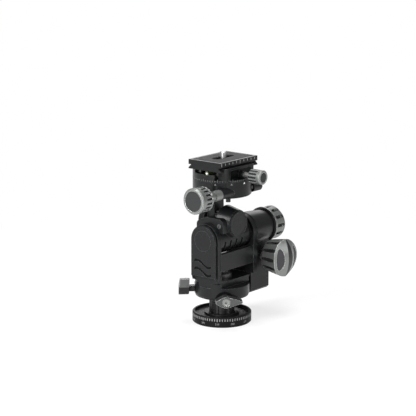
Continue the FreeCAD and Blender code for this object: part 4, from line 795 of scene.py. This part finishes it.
@dataclass(frozen=True)
class Ticks:
    """Sizes of a scale's ticks, of which every so many is long."""

    width: float
    short: float
    long: float
    per_long: int

    def length(self, index: int) -> float:
        """Length of the tick with a given number."""
        return self.short if index % self.per_long else self.long


def rectangle(left: float, right: float, low: float, high: float) -> list[Pair]:
    """Corners of an upright rectangle in order."""
    return [(left, low), (right, low), (right, high), (left, high)]


def add_slab(mesh: BMesh, corners: Sequence[Vector], sink: Vector) -> None:
    """Add a thin slab with a given outer face.

    Args:
        mesh: Mesh that receives it.
        corners: Corners of the outer face in order.
        sink: Offset of the inner face.
    """
    outer = [mesh.verts.new(corner) for corner in corners]
    inner = [mesh.verts.new(corner + sink) for corner in corners]
    mesh.faces.new(outer)
    mesh.faces.new(list(reversed(inner)))
    count = len(corners)
    for index in range(count):
        after = (index + 1) % count
        mesh.faces.new((outer[after], outer[index], inner[index], inner[after]))


def drum_mark(mesh: BMesh, drum: Drum, outline: Sequence[Pair]) -> None:
    """Add a flat mark on a drum.

    Args:
        mesh: Mesh that receives it.
        drum: Surface under the mark.
        outline: Corners as (degrees, height) pairs.
    """
    corners = [drum.at(angle, height, MARK_PROUD) for angle, height in outline]
    middle = sum(angle for angle, _ in outline) / len(outline)
    inward = drum.at(middle, 0.0) - drum.at(middle, 0.0, MARK_DEPTH)
    add_slab(mesh, corners, inward)


def drum_ticks(drum: Drum, count: int, ticks: Ticks, level: float, upward: bool) -> BMesh:
    """Ring of evenly spaced tick marks.

    Args:
        drum: Surface under the marks.
        count: Number of ticks round the drum.
        ticks: Their sizes.
        level: Height that they all start from.
        upward: Whether they run up from there, not down.

    Returns:
        A mesh with all ticks.
    """
    mesh = bmesh.new()
    half = math.degrees(ticks.width / drum.radius) / 2
    for index in range(count):
        angle, length = 360.0 * index / count, ticks.length(index)
        low, high = (level, level + length) if upward else (level - length, level)
        drum_mark(mesh, drum, rectangle(angle - half, angle + half, low, high))
    return mesh


def figure_mesh(text: str, height: float) -> bpy.types.Mesh:
    """Flat mesh of a number.

    Args:
        text: The number's figures.
        height: Height of the figures in metres.

    Returns:
        A mesh in the XY plane, centred on the origin.
    """
    curve = bpy.data.curves.new("figure", "FONT")
    curve.body = text
    curve.size = height * FONT_SIZE
    curve.align_x = "CENTER"
    curve.align_y = "CENTER"
    curve.resolution_u = 2
    carrier = add_object("figure", curve)
    made = bpy.data.meshes.new_from_object(carrier)
    bpy.data.objects.remove(carrier)
    bpy.data.curves.remove(curve)
    return made


def drum_figures(drum: Drum, labels: Mapping[float, str], height: float, level: float) -> BMesh:
    """Numbers wrapped on a drum.

    Args:
        drum: Surface under the numbers.
        labels: Text by direction in degrees.
        height: Height of the figures in metres.
        level: Height of their middle along the axis.

    Returns:
        A mesh with all numbers.
    """
    mesh = bmesh.new()
    for angle, text in labels.items():
        flat = figure_mesh(text, height)
        first = len(mesh.verts)
        mesh.from_mesh(flat)
        mesh.verts.ensure_lookup_table()
        for vertex in mesh.verts[first:]:
            turn = angle + math.degrees(vertex.co.x / drum.radius)
            vertex.co = drum.at(turn, level + vertex.co.y, FIGURE_PROUD)
        bpy.data.meshes.remove(flat)
    return mesh


def ring_mesh(centre: Vector, normal: Vector, radii: Pair, thickness: float,
              segments: int = 64) -> BMesh:
    """Flat ring with a rectangular section.

    Args:
        centre: Centre of the ring's outer face.
        normal: Direction that the face looks in.
        radii: Inner and outer radius.
        thickness: Depth behind the face.
        segments: Sides of the ring.

    Returns:
        The ring's mesh.
    """
    mesh = bmesh.new()
    turn = normal.to_track_quat("Z", "Y").to_matrix().to_4x4()
    place = Matrix.Translation(centre) @ turn
    loops = []
    inner, outer = radii
    section = [(inner, 0.0), (outer, 0.0), (outer, -thickness), (inner, -thickness)]
    for index in range(segments):
        angle = 2 * math.pi * index / segments
        loops.append([mesh.verts.new(place @ Vector((r * math.cos(angle), r * math.sin(angle), z)))
                      for r, z in section])
    for index in range(segments):
        here, there = loops[index], loops[(index + 1) % segments]
        for side in range(len(section)):
            after = (side + 1) % len(section)
            mesh.faces.new((here[side], there[side], there[after], here[after]))
    return mesh


def low_face(name: str, axis: Axis, proud: float) -> Vector:
    """Point in front of the middle of a face of a node's box.

    Args:
        name: Name of the node.
        axis: Axis at whose low end the face lies.
        proud: Distance in front of the face.

    Returns:
        The point.
    """
    low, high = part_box(name)
    point = (low + high) / 2
    index = list(Axis).index(axis)
    point[index] = low[index] - proud
    return point


# --- sub-assemblies


@dataclass
class SubAssembly:
    """Group of nodes and trim pieces that belong together."""

    nodes: Mapping[str, bpy.types.Object]

    def dress(self, finish: Finish, *names: str) -> None:
        """Give CAD nodes a finish.

        Args:
            finish: The finish.
            names: Names of the nodes.
        """
        for name in names:
            for slot in self.nodes[name].material_slots:
                slot.material = finish.material()
            LOG.info("node %s wears %s", name, finish.name)

    def dress_turned(self, name: str, axis: Axis, colour: Colour, roughness: float) -> None:
        """Give a node a turned finish centred on its own box.

        Args:
            name: Name of the node.
            axis: Axis that it is turned about.
            colour: Base colour.
            roughness: Base roughness.
        """
        low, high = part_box(name)
        centre = tuple((low + high) / 2)
        self.dress(TurnedMetal(name + "_metal", colour, roughness, axis, centre), name)

    def dress_knob(self, name: str, axis: Axis, lands: tuple[LandPoint, LandPoint],
                   front_high: bool = False, rib_across: Axis | None = None,
                   leaves: int = 0) -> None:
        """Give a knob its finish, with painted shade in the grooves below the land between two
        points.

        Args:
            name: Name of the node.
            axis: Axis that it is turned about.
            lands: Distance from the knob's front and radius where the land starts and ends.
            front_high: Whether the front is at the high end of the axis.
            rib_across: Direction across the rib of the knob's front, where it has one; the rib
                gets painted shade.
            leaves: Number of leaves of painted shade round the knob's band.
        """
        low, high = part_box(name)
        centre = (low + high) / 2
        index = list(Axis).index(axis)
        front, inward = (high[index], -1.0) if front_high else (low[index], 1.0)
        centre[index] = front
        start, end = ((front + inward * distance, radius) for distance, radius in lands)
        self.dress(GroovedMetal(name + "_metal", KNOB_COLOUR, axis=axis, centre=tuple(centre),
                                land_start=start, land_end=end, rib_across=rib_across,
                                leaves=leaves), name)

    def build(self) -> None:
        """Dress the nodes and add the trim."""
        raise NotImplementedError


@dataclass
class BaseUnit(SubAssembly):
    """Base disc with its angle scale, and the pan spindle."""

    tick_count: int = 72
    ticks: Ticks = Ticks(0.85 * MM, 2.3 * MM, 2.7 * MM, 6)
    tick_margin: float = 1.5 * MM
    figure_step: int = 30
    figure_height: float = 1.9 * MM
    figure_level: float = 3.4 * MM

    def build(self) -> None:
        """Dress the nodes and add the scale and its figures."""
        self.dress(DULL_BLACK, "base_disc")
        self.dress(BLACK_OXIDE, "pan_spindle", "spindle_screws")
        self.dress(STEEL, "thread_insert")
        self.dress(DARK_STEEL, "spindle_nut")
        low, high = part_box("base_disc")
        drum = Drum((high.x - low.x) / 2)
        scale = drum_ticks(drum, self.tick_count, self.ticks, high.z - self.tick_margin, False)
        new_piece("base_scale", scale, "base", BAND_PAINT)
        labels = {float(angle): str(angle) for angle in range(0, 360, self.figure_step)}
        figures = drum_figures(drum, labels, self.figure_height, self.figure_level)
        new_piece("base_figures", figures, "base", BAND_PAINT)


@dataclass
class YokeUnit(SubAssembly):
    """Yoke, gear case and locking levers."""

    lever_colour: Colour = (0.1, 0.103, 0.1)
    drag_colour: Colour = (0.15, 0.154, 0.15)
    lever_roughness: float = 0.36
    collar_colour: Colour = (0.5, 0.52, 0.5)
    collar_roughness: float = 0.3
    tilt_axis_height: float = 82.0 * MM
    relief_radii: Pair = (9.4 * MM, 9.8 * MM)
    relief_proud: float = 0.05 * MM
    relief_thickness: float = 0.15 * MM

    def build(self) -> None:
        """Dress the nodes and add the ring on the left cover."""
        self.dress(BLACK, "yoke", "gear_case", "case_lid")
        cover_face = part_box("left_cover")[0].x
        # The cover's waves carry painted shade.
        self.dress(WavedBlack("cover_black", SATIN_BLACK.colour, SATIN_BLACK.roughness,
                              SATIN_BLACK.specular, face=cover_face), "left_cover")
        self.build_cover_relief(cover_face)
        self.dress(BLACK_OXIDE, "case_lid_screws", "drag_lever_screw")
        self.dress(SLEEVE_METAL, "pan_lock_lever_screw")
        self.dress(BRONZE, "left_bush", "right_bush", "lock_shoes", "lay_wheel")
        self.dress(STEEL, "tilt_worm", "lay_pinion", "tilt_gear")
        self.dress_turned("tilt_collar", Axis.Y, self.collar_colour, self.collar_roughness)
        self.dress_turned("pan_lock_lever", Axis.Z, self.lever_colour, self.lever_roughness)
        # The drag lever's lower half is painted dull black as painted shade.
        low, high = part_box("drag_lever")
        self.dress(TwoToneMetal("drag_lever_metal", self.drag_colour, self.lever_roughness,
                                Axis.Z, tuple((low + high) / 2), split=(low.z + high.z) / 2),
                   "drag_lever")

    def build_cover_relief(self, face: float) -> None:
        """Add the fine ring in relief about the tilt axis on the left cover.

        Args:
            face: Place of the cover's face along the X axis.
        """
        centre = Vector((face - self.relief_proud, 0.0, self.tilt_axis_height))
        ring = ring_mesh(centre, LEFTWARD, self.relief_radii, self.relief_thickness)
        new_piece("cover_relief", ring, "yoke_unit", BLACK)


@dataclass
class TiltKnob(SubAssembly):
    """Scalloped knob that drives the tilt."""

    lands: tuple[LandPoint, LandPoint] = ((4.0 * MM, 15.4 * MM), (20.8 * MM, 18.2 * MM))
    leaves: int = 12

    def build(self) -> None:
        """Dress the nodes."""
        self.dress_knob("tilt_knob", Axis.Y, self.lands, True, Axis.X, self.leaves)
        self.dress(INLAY, "tilt_knob_inlays")


@dataclass
class CradleUnit(SubAssembly):
    """Cradle, nose cap and the roll knob."""

    lands: tuple[LandPoint, LandPoint] = ((3.0 * MM, 15.6 * MM), (15.0 * MM, 16.2 * MM))
    leaves: int = 12
    rim_inset: Pair = (1.5 * MM, 0.4 * MM)
    rim_proud: float = 0.3 * MM
    rim_thickness: float = 0.4 * MM

    def build(self) -> None:
        """Dress the nodes and add the rim of the nose cap."""
        self.dress(BLACK, "cradle")
        self.dress(SATIN_BLACK, "nose_cap")
        self.dress(GREY_STEEL, "ear_screw")
        self.build_cap_rim()
        self.dress(STEEL, "tilt_pin", "tilt_trunnion", "roll_worm", "roll_shaft")
        self.dress(BRONZE, "shaft_bush")
        self.dress(DARK_STEEL, "roll_wheel")
        self.dress_knob("roll_knob", Axis.X, self.lands, False, Axis.Y, self.leaves)
        self.dress(INLAY, "roll_knob_inlays")

    def build_cap_rim(self) -> None:
        """Add the raised rim of the nose cap."""
        low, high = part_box("nose_cap")
        inner, outer = ((high.x - low.x) / 2 - inset for inset in self.rim_inset)
        rim = ring_mesh(low_face("nose_cap", Axis.Y, self.rim_proud), FORWARD, (inner, outer),
                        self.rim_thickness)
        new_piece("nose_cap_rim", rim, "tilt_cradle", BLACK)


@dataclass
class PanUnit(SubAssembly):
    """Pan unit with its scale, index marks, stop post and knob."""

    seam: float = 138.3 * MM
    radius: float = 27.5 * MM
    lands: tuple[LandPoint, LandPoint] = ((4.6 * MM, 11.5 * MM), (15.0 * MM, 11.5 * MM))
    tick_count: int = 72
    ticks: Ticks = Ticks(0.35 * MM, 1.3 * MM, 2.2 * MM, 6)
    tick_foot: float = 0.4 * MM
    index_angles: tuple[float, ...] = (-92.9, 90.0)
    side_angles: tuple[float, ...] = (-122.6, -154.3)
    index_half_angle: float = 2.2
    index_foot: float = 2.6 * MM
    index_tip: float = 0.8 * MM
    post_heights: Pair = (144.7 * MM, 147.7 * MM)
    post_angles: tuple[float, ...] = (208.5, 211.5, 214.5, 217.5, 220.5)
    post_inner_radius: float = 22.5 * MM
    post_inset: float = 0.2 * MM
    hole_angles: Pair = (212.0, 218.0)
    hole_heights: Pair = (143.9 * MM, 146.9 * MM)
    sleeve_radii: Pair = (4.72 * MM, 4.95 * MM)
    sleeve_gap: float = 0.2 * MM
    sleeve_length: float = 9.4 * MM
    plug_radii: Pair = (0.05 * MM, 1.0 * MM)
    plug_proud: float = 0.05 * MM
    plug_thickness: float = 0.4 * MM
    plug_segments: int = 24

    def build(self) -> None:
        """Dress the nodes and add the trim."""
        self.dress(BLACK, "roll_neck", "pan_stator", "worm_boss", "worm_end_cap", "clamp_body")
        self.dress(BLACK_OXIDE, "neck_screws", "preload_screw")
        self.dress(STEEL, "pan_worm", "pan_retainer", "guide_pins")
        self.dress(BRONZE, "pan_wheel")
        self.dress(VIAL, "bubble_level")
        self.dress_knob("pan_knob", Axis.X, self.lands)
        self.dress(DARK_DISC, "pan_knob_insert")
        drum = Drum(self.radius)
        scale = drum_ticks(drum, self.tick_count, self.ticks, self.seam + self.tick_foot, True)
        new_piece("pan_scale", scale, "pan_rotor", FAINT_PAINT)
        self.build_index_marks(drum, "pan_index", self.index_angles, PAINT)
        self.build_index_marks(drum, "pan_side_marks", self.side_angles, FAINT_PAINT)
        self.build_level_plug()
        self.build_stop_post(drum)
        self.build_sleeve()

    def build_index_marks(self, drum: Drum, name: str, angles: Sequence[float],
                          finish: Finish) -> None:
        """Add the triangles that point up at the scale.

        Args:
            drum: Side of the pan unit.
            name: Name of the piece.
            angles: Direction of each triangle in degrees.
            finish: Paint of the triangles.
        """
        marks = bmesh.new()
        foot, tip = self.seam - self.index_foot, self.seam - self.index_tip
        for angle in angles:
            drum_mark(marks, drum, [(angle - self.index_half_angle, foot),
                                    (angle + self.index_half_angle, foot), (angle, tip)])
        new_piece(name, marks, "roll_saddle", finish)

    def build_sleeve(self) -> None:
        """Add the long sleeve that joins the pan knob to the worm's boss."""
        tube = ring_mesh(low_face("worm_boss", Axis.X, self.sleeve_gap), LEFTWARD,
                         self.sleeve_radii, self.sleeve_length)
        new_piece("pan_knob_sleeve", tube, "pan_drive", SLEEVE_METAL)

    def build_stop_post(self, drum: Drum) -> None:
        """Add the post beside the front jaw, and a dark patch of painted shade where its square
        hole is.

        Args:
            drum: Side of the pan unit.
        """
        low, high = self.post_heights
        post = bmesh.new()
        inner = Drum(self.post_inner_radius)
        outer = Drum(drum.radius - self.post_inset)
        corners = [outer.at(turn, low) for turn in self.post_angles]
        corners += [inner.at(turn, low) for turn in reversed(self.post_angles)]
        add_slab(post, corners, Vector((0.0, 0.0, high - low)))
        new_piece("stop_post", post, "pan_rotor", BLACK)
        # Painted shade: a dark sheet on the post's face stands in for the shaded square hole.
        hole = bmesh.new()
        drum_mark(hole, drum, rectangle(*self.hole_angles, *self.hole_heights))
        new_piece("stop_post_hole_shade", hole, "pan_rotor", HOLE_SHADE)

    def build_level_plug(self) -> None:
        """Add a painted highlight: a bright white dot on the visible end of the level's vial."""
        # Painted highlight: a white paint dot stands in for the glint on the vial's end.
        glint = ring_mesh(low_face("bubble_level", Axis.X, self.plug_proud), LEFTWARD,
                         self.plug_radii, self.plug_thickness, self.plug_segments)
        new_piece("level_glint", glint, "pan_rotor", PAINT)


@dataclass
class ClampUnit(SubAssembly):
    """Dovetail clamp, camera plate and their screws."""

    lands: tuple[LandPoint, LandPoint] = ((0.0, 6.8 * MM), (13.8 * MM, 6.8 * MM))
    plate_edge_colour: Colour = (0.05, 0.05, 0.05)
    plate_wear: float = 1.5
    tick_pitch: float = 5.4 * MM
    ticks: Ticks = Ticks(0.5 * MM, 2.1 * MM, 2.9 * MM, 5)
    end_margin: float = 2.0 * MM
    top_margin: float = 0.7 * MM

    def build(self) -> None:
        """Dress the nodes and add the plate's scale."""
        self.dress(BLACK, "clamp_jaw")
        # The plate's edges get a darker edge colour, so less painted highlight than the other
        # black parts.
        self.dress(BlackAnodised("plate_black", BLACK.colour, edge_colour=self.plate_edge_colour,
                                 wear=self.plate_wear), "camera_plate")
        self.dress(STEEL, "clamp_screw", "camera_screw")
        self.dress(BLACK_OXIDE, "plate_stops")
        self.dress(RUBBER, "plate_pad")
        self.dress_knob("clamp_knob", Axis.Y, self.lands)
        self.dress(DARK_DISC, "clamp_knob_insert")
        self.build_plate_scale()

    def build_plate_scale(self) -> None:
        """Add the ticks along the plate's near side."""
        low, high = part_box("camera_plate")
        mesh = bmesh.new()
        count = int((high.x - low.x - 2 * self.end_margin) / self.tick_pitch)
        top, face, half = high.z - self.top_margin, low.y - MARK_PROUD, self.ticks.width / 2
        for index in range(count + 1):
            x = low.x + self.end_margin + index * self.tick_pitch
            outline = rectangle(x - half, x + half, top - self.ticks.length(index), top)
            corners = [Vector((across, face, height)) for across, height in outline]
            add_slab(mesh, corners, Vector((0.0, MARK_DEPTH, 0.0)))
        new_piece("plate_scale", mesh, "plate_unit", WORN_PAINT)


# --- studio


@dataclass(frozen=True)
class Lamp:
    """Soft square lamp aimed at the middle of the head."""

    name: str
    place: Point
    size: float
    power: float

    def build(self, target: Vector) -> None:
        """Hang the lamp.

        Args:
            target: Point that it looks at.
        """
        data = bpy.data.lights.new(self.name, "AREA")
        data.size = self.size
        data.energy = self.power
        made = add_object(self.name, data)
        made.location = self.place
        made.rotation_euler = (target - Vector(self.place)).to_track_quat("-Z", "Y").to_euler()


@dataclass
class Studio:
    """Pale floor, soft light and the camera."""

    camera_place: Point = (-1.1380, -0.9210, 0.4306)
    camera_aim: Point = (0.7536, 0.6212, -0.2147)
    lens: float = 138.5
    sensor_width: float = 36.0
    clip_range: Pair = (0.05, 50.0)
    floor_half: float = 12.0
    floor_drop: float = 0.1 * MM
    floor_colours: tuple[Colour, Colour] = ((0.8, 0.8, 0.8), (0.82, 0.82, 0.82))
    floor_grain: Texture = (2.0, 2.0)
    near_glow: float = 0.74
    shadow_reach: float = 0.12
    shadow_fade: float = 0.35
    ambient: float = 0.1
    mirror_share: float = 0.28
    lamp_target: Point = (0.0, 0.0, 0.08)
    lamps: tuple[Lamp, ...] = (
        Lamp("key_lamp", (-1.5, 0.3, 1.2), 0.7, 30.0),
        Lamp("front_lamp", (-0.1, -1.7, 0.9), 0.8, 13.0),
        Lamp("top_lamp", (0.1, 0.1, 1.9), 1.0, 30.0),
        Lamp("rim_lamp", (1.5, 0.9, 0.8), 0.9, 5.0),
        Lamp("side_lamp", (-1.8, -0.4, 0.4), 0.6, 28.0),
    )

    def build(self) -> None:
        """Build the studio."""
        self.build_floor()
        self.build_world()
        for lamp in self.lamps:
            lamp.build(Vector(self.lamp_target))
        self.build_camera()
        bpy.context.scene.view_settings.view_transform = "Standard"

    def seen_directly(self, graph: Graph) -> Wire:
        """Mask of the rays that show the surroundings: whole when seen, part when mirrored."""
        camera, glossy, through = (graph.node("ShaderNodeLightPath", {}, {}, "Is %s Ray" % kind)
                                   for kind in ("Camera", "Glossy", "Transmission"))
        return (camera + (glossy + through) * self.mirror_share).clamp()

    def build_floor(self) -> None:
        """Lay the floor, which the camera sees as nearly white with the head's shadow."""
        mesh = bmesh.new()
        half = self.floor_half
        outline = rectangle(-half, half, -half, half)
        mesh.faces.new([mesh.verts.new((x, y, -self.floor_drop)) for x, y in outline])
        data = bpy.data.meshes.new("floor")
        mesh.to_mesh(data)
        mesh.free()
        floor = add_object("floor", data)
        made = bpy.data.materials.new("pale_floor")
        graph = empty_graph(made)
        away = graph.vector("LENGTH", graph.place(), (0.0, 0.0, 0.0), "Value")
        far = away.above(self.shadow_reach, self.shadow_fade)
        share = self.seen_directly(graph) * (far * (1.0 - self.near_glow) + self.near_glow)
        cloud = graph.noise(self.floor_grain)
        paint = graph.node("ShaderNodeBsdfDiffuse", {},
                           {"Color": graph.blend(cloud, *self.floor_colours)})
        glow = graph.node("ShaderNodeEmission", {}, {"Color": (1.0, 1.0, 1.0), "Strength": 1.0})
        mixed = graph.node("ShaderNodeMixShader", {}, {0: share, 1: paint, 2: glow})
        graph.output("ShaderNodeOutputMaterial", mixed)
        data.materials.append(made)

    def build_world(self) -> None:
        """Fill the surroundings with even light, white to the camera and in reflections."""
        world = bpy.data.worlds.new("studio")
        graph = empty_graph(world)
        strength = self.seen_directly(graph) * (1.0 - self.ambient) + self.ambient
        sky = graph.node("ShaderNodeBackground", {},
                         {"Color": (1.0, 1.0, 1.0), "Strength": strength})
        graph.output("ShaderNodeOutputWorld", sky)
        bpy.context.scene.world = world

    def build_camera(self) -> None:
        """Set up the camera."""
        data = bpy.data.cameras.new("camera")
        data.lens = self.lens
        data.sensor_width = self.sensor_width
        data.clip_start, data.clip_end = self.clip_range
        made = add_object("camera", data)
        made.location = self.camera_place
        made.rotation_euler = Vector(self.camera_aim).to_track_quat("-Z", "Y").to_euler()
        bpy.context.scene.camera = made


def main() -> None:
    """Load the frame, dress it, add the trim and build the studio."""
    logging.basicConfig(level=logging.INFO, format="%(name)s: %(message)s")
    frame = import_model()
    nodes = frame["nodes"]
    for unit in (BaseUnit(nodes), YokeUnit(nodes), TiltKnob(nodes), CradleUnit(nodes),
                 PanUnit(nodes), ClampUnit(nodes)):
        unit.build()
    Studio().build()


if __name__ == "__main__":
    main()
